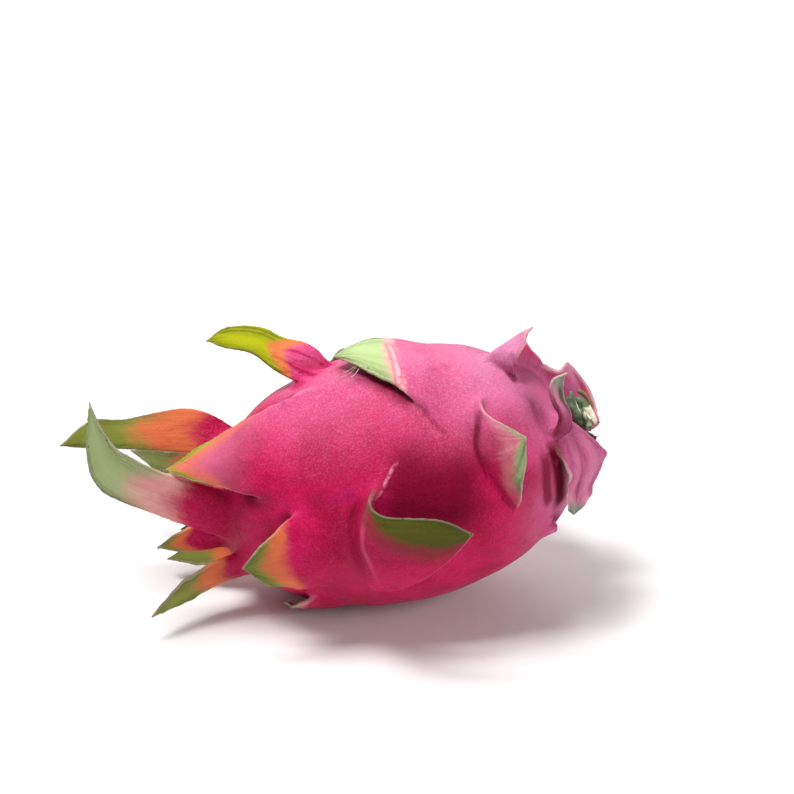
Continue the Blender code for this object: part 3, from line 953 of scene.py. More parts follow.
@dataclass(frozen=True)
class SkinFinish:
    """Waxy pink skin that turns green towards the tips of its scales.

    Heights and places are in metres, in the world.
    """

    deep: tuple = (0.34, 0.0005, 0.030)
    bright: tuple = (0.62, 0.005, 0.105)
    # Painted light: the paler pink of the skin's lit top.
    painted_lit_top: tuple = (0.63, 0.115, 0.28)
    # Painted highlight: pale lilac laid along the very top of the skin, also the colour of painted light
    # on some scales.
    crest: tuple = (0.80, 0.30, 0.48)
    # Dusky mauve of the stem end: partly the skin's own tone, partly a painted sheen of light reflected
    # from below.
    mauve_and_painted_sheen: tuple = (0.52, 0.13, 0.28)
    lilac: tuple = (0.51, 0.20, 0.36)
    # Pale speckle: the skin's own grain and dots, and the painted glints on its lit top.
    grain: tuple = (0.88, 0.36, 0.50)
    dusk: tuple = (0.26, 0.012, 0.085)
    # Painted shade: dark crimson for creases, pockets and the skin under and beside the scales.
    painted_shade: tuple = (0.14, 0.0004, 0.012)
    red: tuple = (0.78, 0.015, 0.15)
    rim: tuple = (0.62, 0.47, 0.42)
    # Painted highlight on ridges and on the crests of the scales' folds.
    ridge: tuple = (0.82, 0.30, 0.44)
    # Dark green of the scales' margins and tips, also the painted shade in the collar's fold.
    shade: tuple = (0.042, 0.058, 0.012)
    dry: tuple = (0.075, 0.055, 0.022)
    scar: tuple = (0.82, 0.62, 0.72)
    # Heights over which painted light makes the skin paler.
    painted_light_height: tuple = (0.074, 0.118)
    painted_highlight_height: tuple = (0.1, 0.125)
    left_highlight_height: tuple = (0.064, 0.088)
    lilac_from_crown: tuple = (0.03, 0.055)
    mauve_from_crown: tuple = (0.052, 0.08)

    def skin_colour(self, board: NodeBoard) -> bpy.types.NodeSocket:
        """Mottled pink with a fine grain and faint dusky patches, paler on top with painted light and
        painted highlights, and darker in creases and under the scales with painted shade.
        """
        axis = (0.0, math.radians(FRUIT.tilt), -math.radians(FRUIT.yaw))
        patches = board.spread(board.noise(55.0, 5.0, rough=0.6), 0.36, 0.66)
        streaks = board.noise(1.0, 4.0, board.mapped((26.0, 260.0, 260.0), axis))
        tone = board.plus(board.times(patches, 0.6), board.times(streaks, 0.4))
        base = board.mix(tone, self.deep, self.bright)
        height = board.plus(board.coordinate("Z"), board.times(board.noise(30.0), 0.03))
        # Painted highlight on the upper left: the height is raised there so that the painted light and
        # highlight reach lower.
        left = board.times(board.spread(board.coordinate("X"), 0.01, -0.05), 0.022)
        left = board.times(left, board.spread(board.coordinate("Z"), *self.left_highlight_height))
        height = board.plus(height, left)
        # Painted light: the skin turns paler towards the top, where the light falls.
        above = board.spread(height, *self.painted_light_height)
        mottle = board.spread(board.noise(120.0, 5.0, rough=0.65), 0.42, 0.62)
        sunlit = board.mix(board.times(mottle, 0.35), self.painted_lit_top, self.bright)
        base = board.mix(above, base, sunlit)
        # Painted highlight along the very top.
        base = board.mix(board.times(board.spread(height, *self.painted_highlight_height), 0.7), base, self.crest)
        uneven = board.times(board.noise(90.0, 5.0, rough=0.65), 0.02)
        place = board.plus(board.coordinate("X"), uneven)
        mound = board.times(board.spread(place, *self.lilac_from_crown), above)
        base = board.mix(board.times(mound, 0.75), base, self.lilac)
        # Stem end turns mauve: its own tone and a painted sheen.
        base = board.mix(board.times(board.spread(place, *self.mauve_from_crown), 0.75), base, self.mauve_and_painted_sheen)
        # Scales marked for it take the highlight colour: partly their own paler tone, partly painted
        # light, as inside the hood.
        base = board.mix(board.attribute("pale_tone_and_painted_light"), base, self.crest)
        # Fine pale grain of the skin itself, made stronger on top as painted glints.
        fine = board.spread(board.noise(1700.0, 3.0, rough=0.7), 0.44, 0.68)
        grain_and_glints = board.times(fine, board.plus(0.07, board.times(above, 0.36)))
        base = board.mix(grain_and_glints, base, self.grain)
        clouds = board.spread(board.noise(70.0, 6.0, rough=0.7), 0.54, 0.72)
        base = board.mix(board.times(clouds, 0.5), base, self.dusk)
        dots = board.spread(board.cells(60.0), 0.035, 0.02)
        chosen = board.spread(board.noise(33.0), 0.58, 0.62)
        base = board.mix(board.times(board.times(dots, chosen), 0.6), base, self.grain)
        # Painted shade darkens creases and the skin under and beside the scales.
        return board.mix(self.painted_shade_share(board), base, self.painted_shade)

    def painted_shade_share(self, board: NodeBoard) -> bpy.types.NodeSocket:
        """Share of painted shade: in creases, in pockets under the scales and in painted shadows beside
        them.
        """
        mark = board.times(board.spread(board.attribute("dark_gap"), 1.0, 0.25), board.attribute("dark"))
        return board.math("MAXIMUM", mark, board.attribute("painted_shade"))

    def leaf_colour(self, board: NodeBoard, veins: object) -> bpy.types.NodeSocket:
        """Green of the scales, veined along each blade and darker at its margins."""
        across = board.attribute("across")
        edge = board.times(board.times(across, across), 0.95)
        tip = board.times(board.spread(board.attribute("share"), 0.72, 1.0), 0.6)
        dark = board.times(board.plus(edge, tip), board.spread(veins, 0.75, 0.3))
        olive = board.times(board.attribute("olive"), board.spread(veins, 0.8, 0.4))
        dark = board.math("MAXIMUM", dark, olive)
        return board.mix(dark, board.tone("leaf_green"), self.shade)

    def material(self) -> bpy.types.Material:
        """Build the finish from the attributes that the mesh carries."""
        board = NodeBoard("fruit_skin")
        ragged = board.math("SUBTRACT", board.noise(160.0, 4.0), 0.5)
        blade = board.vector(
            board.times(board.attribute("share"), 1.2),
            board.times(board.attribute("across"), 7.0),
            board.attribute("leaf"),
        )
        veins = board.noise(1.0, 4.0, blade, 0.6)
        uneven = board.plus(ragged, board.math("SUBTRACT", veins, 0.5))
        green = board.plus(board.attribute("green"), board.times(uneven, 0.45))
        warm = board.plus(board.attribute("warm"), board.times(uneven, 0.3))
        colour = self.skin_colour(board)
        # Painted highlights along the pale ridge marks and the crests of the scales' folds.
        ridge = board.plus(board.attribute("pale_gap"), board.times(ragged, 0.2))
        ridge = board.times(board.spread(ridge, 1.0, 0.3), board.attribute("pale"))
        colour = board.mix(board.math("MAXIMUM", ridge, board.attribute("crest")), colour, self.ridge)
        colour = board.mix(board.times(board.attribute("inner_red"), 0.75), colour, self.red)
        colour = board.mix(board.spread(warm, 0.1, 1.0), colour, board.tone("leaf_warmth"))
        colour = board.mix(board.spread(green, 0.12, 0.85), colour, self.leaf_colour(board, veins))
        margin = board.plus(board.attribute("margin_gap"), board.times(ragged, 0.6))
        rim = board.times(board.spread(margin, 1.05, 0.5), board.attribute("rim"))
        colour = board.mix(rim, colour, self.rim)
        scratch = board.plus(board.attribute("scar_gap"), board.times(ragged, 0.6))
        colour = board.mix(board.times(board.spread(scratch, 2.3, 1.5), 0.4), colour, self.bright)
        colour = board.mix(board.times(board.spread(scratch, 1.5, 0.8), 0.8), colour, self.scar)
        specks = board.spread(board.cells(430.0), 0.3, 0.14)
        specks = board.times(specks, board.spread(margin, 2.4, 1.2))
        specks = board.times(specks, board.times(green, board.spread(board.noise(60.0), 0.5, 0.6)))
        dry = board.plus(board.attribute("dry"), board.times(ragged, 0.5))
        dry = board.math("MAXIMUM", dry, board.times(specks, 0.7))
        # Dark green painted shade in the collar's fold.
        fold_shade = board.spread(board.attribute("fold_shade_gap"), 1.0, 0.2)
        fold_shade = board.times(fold_shade, board.attribute("fold_shade"))
        colour = board.mix(fold_shade, colour, self.shade)
        colour = board.mix(board.spread(dry, 0.35, 0.75), colour, self.dry)
        rough = board.plus(0.36, board.times(board.noise(300.0, 3.0), 0.16))
        rough = board.plus(rough, board.times(self.painted_shade_share(board), 0.5))
        relief = board.bump(board.noise(1300.0, 3.0, rough=0.7), 0.8, 0.0002)
        relief = board.bump(board.noise(420.0, 3.0), 0.9, 0.0003, relief)
        along = board.vector(
            board.times(board.attribute("share"), 7.0),
            board.times(board.attribute("across"), 4.0),
            board.attribute("leaf"),
        )
        wrinkle = board.times(board.noise(1.0, 2.0, along), board.attribute("wrinkle"))
        relief = board.bump(wrinkle, 0.9, 0.0015, relief)
        return board.finish(
            colour, rough, relief, Specular_IOR_Level=0.13, Specular_Tint=(1.0, 0.45, 0.65, 1.0),
            Subsurface_Weight=0.05, Subsurface_Scale=0.0015,
        )


@dataclass
class FruitSkin:
    """The fruit's body and every scale that grows from it, as one surface."""

    voxel: float = 0.5
    triangles: int = 190000
    samples: tuple = (64, 33)
    root_rounds: int = 60
    last_rounds: int = 5
    crown_pit: tuple = (10.0, 6.0)
    stem_pit: tuple = (15.0, 4.0)
    swellings: tuple = (
        (44, 55, 9, 3.2),
        (50, 18, 9, 1.6),
        (-12, 22, 12, 1.0),
        (30, 120, 13, 0.8),
        (-36, 95, 12, 0.8),
        (10, -170, 14, 1.0),
    )
    finish: SkinFinish = SkinFinish()
    blades: list = field(default_factory=lambda: seen_blades() + hidden_blades())
    marks: tuple = skin_marks()

    @staticmethod
    def half_sizes() -> np.ndarray:
        """Half the body's length, width and height."""
        return np.array([FRUIT.half_length, FRUIT.radius, FRUIT.radius])

    def swelling(self, points: np.ndarray) -> np.ndarray:
        """How far points of the body are pushed out by its swellings."""
        push = np.zeros_like(points)
        for along, turn, spread, height in self.swellings:
            centre = on(along, turn, 0)
            outward = np.array(on(along, turn, 1) - centre)
            distance = np.linalg.norm(points - np.array(centre), axis=1, keepdims=True)
            push += outward * height * np.exp(-((distance / spread) ** 2))
        return push

    def body(self) -> bpy.types.Object:
        """Ellipsoid body with its hollows and swellings, in the world."""
        body, ball = add_ball(128, 90)
        ball = ball[:, [2, 1, 0]] * np.array([1.0, 1.0, -1.0])
        points = ball * self.half_sizes()
        radius = np.hypot(points[:, 1], points[:, 2])
        hollow = np.zeros(len(points))
        for way, (reach, depth) in ((-1, self.crown_pit), (1, self.stem_pit)):
            dent = depth * (1 - np.minimum(radius / reach, 1.0) ** 2) ** 2
            hollow -= np.where(np.sign(points[:, 0]) == way, way * dent, 0.0)
        points = points + self.swelling(points)
        points[:, 0] += hollow
        write_points(body, to_world(points))
        return body

    @staticmethod
    def scale(blade: Blade) -> bpy.types.Object:
        """One scale as a closed blade, in the world."""
        deselect()
        bpy.ops.mesh.primitive_grid_add(x_subdivisions=18, y_subdivisions=36, size=2.0)
        scale = bpy.context.active_object
        flat = read_points(scale)
        share, across = (flat[:, 1] + 1) / 2, flat[:, 0]
        write_points(scale, to_world(blade.sheet(share, across)))
        wall = scale.vertex_groups.new(name="wall")
        weights = blade.thickness(share, across) / blade.root_thickness
        for index, weight in enumerate(weights):
            wall.add([index], float(weight), "REPLACE")
        apply_modifier(
            scale, "SOLIDIFY", thickness=blade.root_thickness * MM, offset=0.0, vertex_group="wall",
            thickness_vertex_group=0.0,
        )
        return scale

    def fuse(self) -> bpy.types.Object:
        """Grow body and scales together into one skin."""
        skin = join([self.body()] + [self.scale(blade) for blade in self.blades], "fruit_skin")
        apply_modifier(skin, "REMESH", mode="VOXEL", voxel_size=self.voxel * MM, use_smooth_shade=True)
        return skin

    def nearest(self, points: np.ndarray) -> dict:
        """Find the place on a scale that is nearest to each point.

        Args:
            points: Points in the fruit's frame.

        Returns:
            Arrays named blade, share, across, gap, near and crease.
        """
        grids = np.meshgrid(np.linspace(0, 1, self.samples[0]), np.linspace(-1, 1, self.samples[1]))
        shares, acrosses = (grid.ravel() for grid in grids)
        count = len(shares)
        tree = kdtree.KDTree(count * len(self.blades))
        sheets, facings, walls, creases = [], [], [], []
        for number, blade in enumerate(self.blades):
            sheet = blade.sheet(shares, acrosses)
            ahead = blade.sheet(np.minimum(shares + SMALL_STEP, 1.0), acrosses)
            behind = blade.sheet(np.maximum(shares - SMALL_STEP, 0.0), acrosses)
            beyond = blade.sheet(shares, np.minimum(acrosses + SMALL_STEP, 1.0))
            nearer = blade.sheet(shares, np.maximum(acrosses - SMALL_STEP, -1.0))
            facing = np.cross(ahead - behind, beyond - nearer)
            facing /= np.maximum(np.linalg.norm(facing, axis=1, keepdims=True), TINY)
            for index, point in enumerate(sheet):
                tree.insert(point, number * count + index)
            sheets.append(sheet)
            facings.append(facing)
            walls.append(blade.thickness(shares, acrosses))
            creases.append(blade.creases(shares, acrosses) * blade.fold)
        tree.balance()
        sheet, facing, wall = np.vstack(sheets), np.vstack(facings), np.concatenate(walls)
        found = np.array([tree.find(point)[1] for point in points])
        offset = points - sheet[found]
        across_wall = np.abs((offset * facing[found]).sum(axis=1))
        return {
            "blade": found // count,
            "share": shares[found % count],
            "across": acrosses[found % count],
            "gap": across_wall - wall[found] / 2,
            "near": np.linalg.norm(offset, axis=1) - wall[found] / 2,
            "crease": np.concatenate(creases)[found],
        }

    def settle(self, skin: bpy.types.Object) -> None:
        """Blend the roots of the scales into the body and smooth the whole."""
        points, turned = read_surface(skin)
        found = self.nearest(points)
        rise = self.rise(points)
        root = 1 - smooth_step(0.12, 0.4, found["share"])
        root = root * (1 - smooth_step(3.0, 8.0, found["near"]))
        outer = smooth_step(-0.2, 0.5, (turned * self.outward(points)).sum(axis=1))
        root *= outer * (1 - smooth_step(2.0, 6.0, rise))
        edges = read_edges(skin)
        points = relax(points, edges, root, self.root_rounds)
        points = relax(points, edges, np.full(len(points), 0.9), self.last_rounds)
        world = to_world(points)
        world[:, 2] = np.maximum(world[:, 2], 0.0)
        write_points(skin, world)
        present = sum(len(face.vertices) - 2 for face in skin.data.polygons)
        if present > self.triangles:
            apply_modifier(skin, "DECIMATE", ratio=self.triangles / present)

    def rise(self, points: np.ndarray) -> np.ndarray:
        """Rough height of points above the body."""
        share = np.linalg.norm(points / self.half_sizes(), axis=1)
        return (share - 1) * np.linalg.norm(points, axis=1) / np.maximum(share, 1e-6)

    def outward(self, points: np.ndarray) -> np.ndarray:
        """Direction square to the body at each point."""
        slope = points / self.half_sizes() ** 2
        return slope / np.maximum(np.linalg.norm(slope, axis=1, keepdims=True), TINY)

    def marked(self, points: np.ndarray, normals: np.ndarray, effect: str) -> tuple:
        """Find the nearest mark that has an effect.

        Args:
            points: Points in the fruit's frame.
            normals: Surface normals there.
            effect: Name of the effect: relief; pale, a painted highlight; dark, painted shade; or the
                dark green painted shade of a fold.

        Returns:
            The distance from it in its own widths, and its strength, for each point.
        """
        outward, rise = self.outward(points), self.rise(points)
        feet = points - outward * rise[:, None]
        open_side = smooth_step(0.0, 0.4, (normals * outward).sum(axis=1))
        gap, strength = np.full(len(points), FAR_AWAY), np.zeros(len(points))
        for mark in (mark for mark in self.marks if getattr(mark, effect)):
            line = mark.line()
            own, place = self.reach(points if mark.rise else feet, line)
            place = place / len(line)
            fade = smooth_step(0.0, 0.22, place)
            force = getattr(mark, effect) * fade * smooth_step(0.0, 0.22, 1 - place)
            if not mark.rise:
                force = force * open_side * (1 - smooth_step(mark.ceiling - 3, mark.ceiling, rise))
            nearer = own / mark.width < gap
            gap = np.where(nearer, own / mark.width, gap)
            strength = np.where(nearer, force, strength)
        return gap, strength

    def unevenness(self, skin: bpy.types.Object) -> None:
        """Give the skin its shallow lumps, its marks and the edges their nicks."""
        points, turned = read_surface(skin)
        body = 1 - smooth_step(0.5, 3.0, self.rise(points))
        lumps = 0.45 * fine_noise(points, 17.0, 3.0) + 0.16 * fine_noise(points, 6.0, 8.0)
        blades = 0.12 * fine_noise(points, 4.0, 21.0)
        gap, strength = self.marked(points, turned, "relief")
        relief = strength * (1 - smooth_step(0.1, 1.0, gap))
        moved = points + turned * (lumps * body + blades * (1 - body) + relief)[:, None]
        world = to_world(moved)
        resting = read_points(skin)[:, 2] < 1e-5
        world[:, 2] = np.where(resting, 0.0, np.maximum(world[:, 2], 0.0))
        write_points(skin, world)

    def paint(self, skin: bpy.types.Object) -> None:
        """Store how green, warm and dry the skin is, where highlights are painted on it and how much
        painted shade it has.
        """
        points, turned = read_surface(skin)
        found = self.nearest(points)
        share, across, number = found["share"], found["across"], found["blade"]
        member = 1 - smooth_step(0.35, 1.3, found["gap"])
        member = member * (1 - smooth_step(1.2, 2.4, found["near"]))
        tints = [blade.tint for blade in self.blades]
        names = [blade.name for blade in self.blades]

        def of(name: str) -> np.ndarray:
            """One number of each vertex's tint."""
            return np.array([getattr(tint, name) for tint in tints])[number]

        def on_scale(name: str) -> np.ndarray:
            """Whether each vertex is nearest to the scale of that name."""
            return number == names.index(name)

        edge = np.abs(across) ** 2
        clear = smooth_step(0.05, 0.28, share)
        lead = share + (of("edge_lead") * edge + of("far_lead") * across) * clear
        start, end = of("green_from"), of("green_to")
        ripe = (lead - start) / (end - start)
        green = np.clip(ripe, 0, 1) * member
        warm = smooth_step(0.0, 1.0, ripe / of("warm_reach") + 1) * of("warm") * member
        rim = smooth_step(0.15, 0.45, share) * of("rim") * member
        dry = smooth_step(0.86, 1.0, share) * of("dry_tip") * member
        facing_in = smooth_step(0.1, 0.7, -(turned * self.outward(points)).sum(axis=1))
        inner = facing_in * of("inner_red") * member
        rise = self.rise(points)
        # Painted shade on the skin close under the scales.
        painted_shade_share = (1 - smooth_step(0.6, 5.0, found["near"])) * (1 - member)
        painted_shade_share = painted_shade_share * smooth_step(0.15, 0.4, share)
        painted_shade = painted_shade_share * (1 - smooth_step(0.5, 4.0, rise))
        # Painted shade, painted highlights and the dark green painted shade of the collar's fold, from
        # the marks.
        for effect in ("dark", "pale", "fold_shade"):
            gap, strength = self.marked(points, turned, effect)
            add_attribute(skin, effect, strength)
            add_attribute(skin, f"{effect}_gap", gap)
        long_leaf = on_scale("long")
        base = member * long_leaf * (1 - smooth_step(0.28, 0.5, share))
        olive = 0.9 * smooth_step(0.0, 0.9, across)
        olive = long_leaf * np.maximum(olive, 0.8 * smooth_step(0.8, 1.0, share))
        own_place = np.stack([share * 1.8, across * 4.5, number * LEAF_SHIFT], axis=1)
        seams = fine_noise(own_place, 1.0, 6.0)
        inner = np.maximum(inner, 0.6 * base)
        # Painted shade along the wrinkles at the base of the long leaf.
        painted_shade = np.maximum(painted_shade, 0.85 * base * smooth_step(0.0, 0.25, seams))
        far_half = 0.25 + 0.65 * smooth_step(-0.5, 0.6, across)
        olive = np.maximum(olive, on_scale("front_low") * far_half)
        to_stem = smooth_step(0.15, 0.5, turned[:, 0]) * smooth_step(0.1, 0.4, share)
        inner = np.maximum(inner, member * on_scale("shoulder") * to_stem)
        # Painted shade on the collar's underside and on the skin just beside it.
        beside = smooth_step(-0.5, -0.95, across) * (1 - smooth_step(0.8, 3.6, found["near"]))
        beside *= smooth_step(0.1, 0.2, share) * (1 - smooth_step(0.55, 0.8, share))
        wedge = member * smooth_step(0.03, 0.12, share) * (1 - smooth_step(0.14, 0.34, share))
        fold = on_scale("collar") * np.maximum(0.85 * beside, 0.7 * wedge)
        painted_shade = np.maximum(painted_shade, 0.95 * fold)
        green, rim = green * (1 - fold), rim * (1 - fold)
        wrinkle = np.where(long_leaf, 1.0, 0.35) * (1 - smooth_step(0.3, 0.55, share))
        wrinkle = member * np.where(on_scale("flap"), 1.1, wrinkle) * smooth_step(0.08, 0.2, share)
        add_tone(skin, "leaf_green", np.array([tint.green.value for tint in tints])[number])
        add_tone(skin, "leaf_warmth", np.array([tint.warmth.value for tint in tints])[number])
        for name, values in (
            ("green", green),
            ("warm", warm),
            ("rim", rim),
            ("margin_gap", self.distance(points, self.margins())),
            ("scar_gap", self.scratches(points)),
            ("dry", dry),
            ("inner_red", inner),
            ("painted_shade", painted_shade),
            # Painted highlight on the crests of the scales' folds.
            ("crest", np.maximum(found["crease"] - 0.1, 0) * 0.6 * member),
            ("leaf", number * LEAF_SHIFT),
            ("share", share),
            ("across", across),
            ("wrinkle", wrinkle),
            ("olive", olive),
            ("pale_tone_and_painted_light", of("pale_tone_and_painted_light") * member * smooth_step(0.2, 0.8, share)),
        ):
            add_attribute(skin, name, values)

    def margins(self) -> np.ndarray:
        """Points close together along the margins of every scale."""
        shares = np.linspace(0.08, 1.0, 160)
        edges = [np.full(len(shares), side) for side in (-1.0, 1.0)]
        return np.vstack([blade.sheet(shares, edge) for blade in self.blades for edge in edges])

    def scratches(self, points: np.ndarray) -> np.ndarray:
        """Distance to the pale scratches: a broad one on the top, a thin one in front."""
        gap = np.full(len(points), FAR_AWAY)
        for name, start, end, narrow in (
            ("top", (0.4, -0.85), (0.47, 0.4), 0.0),
            ("front_high", (0.34, 0.15), (0.36, 0.5), 0.85),
        ):
            blade = next(blade for blade in self.blades if blade.name == name)
            line = blade.sheet(*(np.linspace(first, last, 40) for first, last in zip(start, end)))
            gap = np.minimum(gap, self.distance(points, line) + narrow)
        return gap

    @staticmethod
    def reach(points: np.ndarray, targets: np.ndarray) -> tuple:
        """Distance from each point to the nearest target, and that target's number."""
        tree = kdtree.KDTree(len(targets))
        for index, target in enumerate(targets):
            tree.insert(target, index)
        tree.balance()
        found = [tree.find(point) for point in points]
        return np.array([hit[2] for hit in found]), np.array([hit[1] for hit in found])

    def distance(self, points: np.ndarray, targets: np.ndarray) -> np.ndarray:
        """Distance from each point to the nearest target."""
        return self.reach(points, targets)[0]

    def build(self) -> bpy.types.Object:
        """Build the skin, dress it and join it to the frame.

        Returns:
            The finished piece.
        """
        skin = self.fuse()
        self.settle(skin)
        self.unevenness(skin)
        self.paint(skin)
        dress(skin, self.finish.material())
        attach(skin, "root")
        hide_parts("fruit")
        return skin


@dataclass(frozen=True)
class StemFinish:
    """Fibrous stem: dark green ribs, cream flesh where it is cut, brown where dry."""

    green: tuple = (0.030, 0.052, 0.020)
    leaf: tuple = (0.12, 0.17, 0.08)
    cream: tuple = (0.92, 0.86, 0.68)
    pale: tuple = (0.66, 0.70, 0.48)
    brown: tuple = (0.24, 0.12, 0.06)

    def material(self) -> bpy.types.Material:
        """Build the finish."""
        board = NodeBoard("stem_flesh")
        mottled = board.spread(board.noise(420.0, 4.0), 0.35, 0.65)
        green = board.mix(mottled, self.green, self.leaf)
        flesh = board.mix(board.spread(board.noise(700.0, 3.0), 0.3, 0.7), self.cream, self.pale)
        ragged = board.math("SUBTRACT", board.noise(500.0, 3.0), 0.5)
        cut = board.plus(board.attribute("cut"), board.times(ragged, 0.5))
        colour = board.mix(board.spread(cut, 0.3, 0.7), green, flesh)
        dry = board.plus(board.attribute("dry"), board.times(ragged, 0.6))
        colour = board.mix(board.spread(dry, 0.3, 0.7), colour, self.brown)
        relief = board.bump(board.noise(700.0, 4.0), 0.8, 0.0003)
        return board.finish(colour, 0.6, relief)


@dataclass(frozen=True)
class DryFinish:
    """Dried plant matter, mottled nearly black and tan."""

    dark: tuple = (0.022, 0.011, 0.008)
    tan: tuple = (0.30, 0.20, 0.11)

    def material(self, name: str, low: float, high: float) -> bpy.types.Material:
        """Build the finish.

        Args:
            name: Name of the material.
            low: Noise below which it is dark.
            high: Noise above which it is tan.

        Returns:
            The material.
        """
        board = NodeBoard(name)
        grain = board.spread(board.noise(600.0, 4.0, rough=0.65), low, high)
        colour = board.mix(grain, self.dark, self.tan)
        return board.finish(colour, 0.75, board.bump(board.noise(900.0, 4.0), 0.9, 0.0003))


def strand(
    path: tuple, radius: float, taper: float, sides: int = 10, rings: int = 18
) -> bpy.types.Object:
    """Solid strand along a curve, rounded at both ends.

    Args:
        path: Points in the fruit's frame that the strand follows.
        radius: Its radius at its root.
        taper: Share of the radius that is left at its end.
        sides: Sides round it.
        rings: Rings along it.

    Returns:
        The strand, in the world.
    """
    piece, ball = add_ball(sides, rings)
    share = np.arccos(np.clip(-ball[:, 2], -1, 1)) / math.pi
    centre = rail_points(path, share)
    step = 2 * SMALL_STEP
    along = rail_points(path, np.minimum(share + step, 1))
    along -= rail_points(path, np.maximum(share - step, 0))
    along /= np.linalg.norm(along, axis=1, keepdims=True)
    first = np.cross(along, np.array([0.3, 0.2, 0.9]))
    first /= np.linalg.norm(first, axis=1, keepdims=True)
    second = np.cross(along, first)
    width = radius * (1 - (1 - taper) * share)
    ends = np.clip(np.sqrt(1 - ball[:, 2] ** 2) * 3.0, 0.0, 1.0)
    angle = np.arctan2(ball[:, 1], ball[:, 0])
    offset = first * np.cos(angle)[:, None] + second * np.sin(angle)[:, None]
    write_points(piece, to_world(centre + offset * (width * ends)[:, None]))
    return piece


def join(parts: list, name: str) -> bpy.types.Object:
    """Join pieces into one.

    Args:
        parts: The pieces.
        name: Name of the joined piece.

    Returns:
        The joined piece.
    """
    deselect()
    for part in parts:
        part.select_set(True)
    bpy.context.view_layer.objects.active = parts[0]
    bpy.ops.object.join()
    whole = bpy.context.active_object
    whole.name = whole.data.name = name
    whole.vertex_groups.clear()
    return whole


@dataclass
class CutStem:
    """Short ribbed stem, cut through at its end, with one rib left standing."""

    base: tuple = (60.5, 3.0, 13.5)
    end: tuple = (68.5, -7.5, 5.5)
    radius: float = 2.9
    ribs: int = 3
    lobe_depth: float = 0.3
    finish: StemFinish = StemFinish()

    def core(self) -> bpy.types.Object:
        """Ribbed core of the stem, with its end cut flat."""
        core, ball = add_ball(72, 48)
        base, end = np.array(self.base), np.array(self.end)
        axis = (end - base) / np.linalg.norm(end - base)
        left = np.array([-1.0, 0.0, -0.35]) - axis * (-axis[0] - 0.35 * axis[2])
        left /= np.linalg.norm(left)
        front = np.cross(left, axis)
        angle = np.arctan2(ball[:, 1], ball[:, 0])
        width = self.radius * (1 + self.lobe_depth * np.cos(self.ribs * angle))
        length = np.linalg.norm(end - base) / 2
        height = np.minimum(ball[:, 2], 0.88) * length
        points = (base + end) / 2 + np.outer(height, axis) + np.outer(ball[:, 0] * width, left)
        points += np.outer(ball[:, 1] * width, front)
        points += 0.18 * fine_noise(points, 1.6, 5.0)[:, None] * front
        write_points(core, to_world(points))
        cut = smooth_step(0.1, 0.75, -np.cos(angle)) * smooth_step(-0.5, 0.2, ball[:, 2])
        add_attribute(core, "cut", np.maximum(cut, smooth_step(0.8, 0.9, ball[:, 2])))
        add_attribute(core, "dry", smooth_step(0.45, 0.95, ball[:, 2]) * 0.8)
        return core

    def rib(self) -> bpy.types.Object:
        """Pointed green rib that stands at the stem's side, with a pale edge."""
        tip = (63.4, -1.8, 17.9)
        near = ((63.6, -6, 5.6), (61.9, -5.5, 9.5), (60.9, -4.8, 13.4), (61.8, -3.4, 16.1), tip)
        middle = ((65, -7.6, 5.8), (63.6, -7.4, 9.9), (62.7, -6.4, 13.6), (63.0, -4.3, 16.0), tip)
        far = ((66.4, -7, 5.9), (65.6, -7, 10), (64.4, -6.0, 13.6), (64.0, -3.8, 15.9), tip)
        blade = Blade("rib", (near, middle, far), root_thickness=1.6, edge_thickness=0.6, wave=0.1)
        rib = FruitSkin.scale(blade)
        points = to_fruit(read_points(rib))
        edge = FruitSkin.reach(points, rail_points(far, np.linspace(0, 1, 60)))[0]
        lower = 1 - smooth_step(15.0, 16.5, points[:, 2])
        add_attribute(rib, "cut", (1 - smooth_step(0.35, 0.7, edge)) * lower)
        add_attribute(rib, "dry", np.zeros(len(edge)))
        return rib

    def lobes(self) -> list:
        """Pale lobes of torn flesh along the stem, brown where they end."""
        thick = ((64.2, -1.8, 15.0), (66.3, -3.4, 13.6), (67.9, -5.0, 10.4), (68.8, -7.2, 6.0))
        front = ((63.6, -3.6, 13.9), (65.0, -5.9, 11.9), (66.2, -7.8, 9.0), (67.0, -9.4, 5.6))
        thin = ((65.4, 1.0, 16.2), (67.2, 0.2, 15.2), (68.7, -1.0, 12.8), (69.4, -2.4, 9.6))
        shapes = ((thick, 1.6, 1.0, 0.0), (front, 1.3, 0.45, 0.0), (thin, 0.85, 0.6, 0.8))
        lobes = []
        for path, radius, cut, dryness in shapes:
            lobe = strand(path, radius, 0.8, 24, 32)
            points = to_fruit(read_points(lobe))
            fibres = fine_noise(points * np.array([1.0, 0.5, 0.35]), 0.8, 7.0)
            points += 0.22 * fibres[:, None] * np.array([0.5, -0.8, 0.3])
            write_points(lobe, to_world(points))
            rind = 0.8 * smooth_step(11.8, 13.4, points[:, 2])
            add_attribute(lobe, "cut", cut - rind + 0.3 * fine_noise(points, 1.8, 9.0))
            brown = (1 - smooth_step(5.0, 9.0, points[:, 2])) * 0.8
            add_attribute(lobe, "dry", np.maximum(brown, dryness))
            lobes.append(lobe)
        return lobes

    def build(self) -> bpy.types.Object:
        """Build the stem and join it to the frame.

        Returns:
            The finished piece.
        """
        stem = join([self.core(), self.rib(), *self.lobes()], "cut_stem")
        dress(stem, self.finish.material())
        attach(stem, "root")
        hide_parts("stem_stub")
        return stem


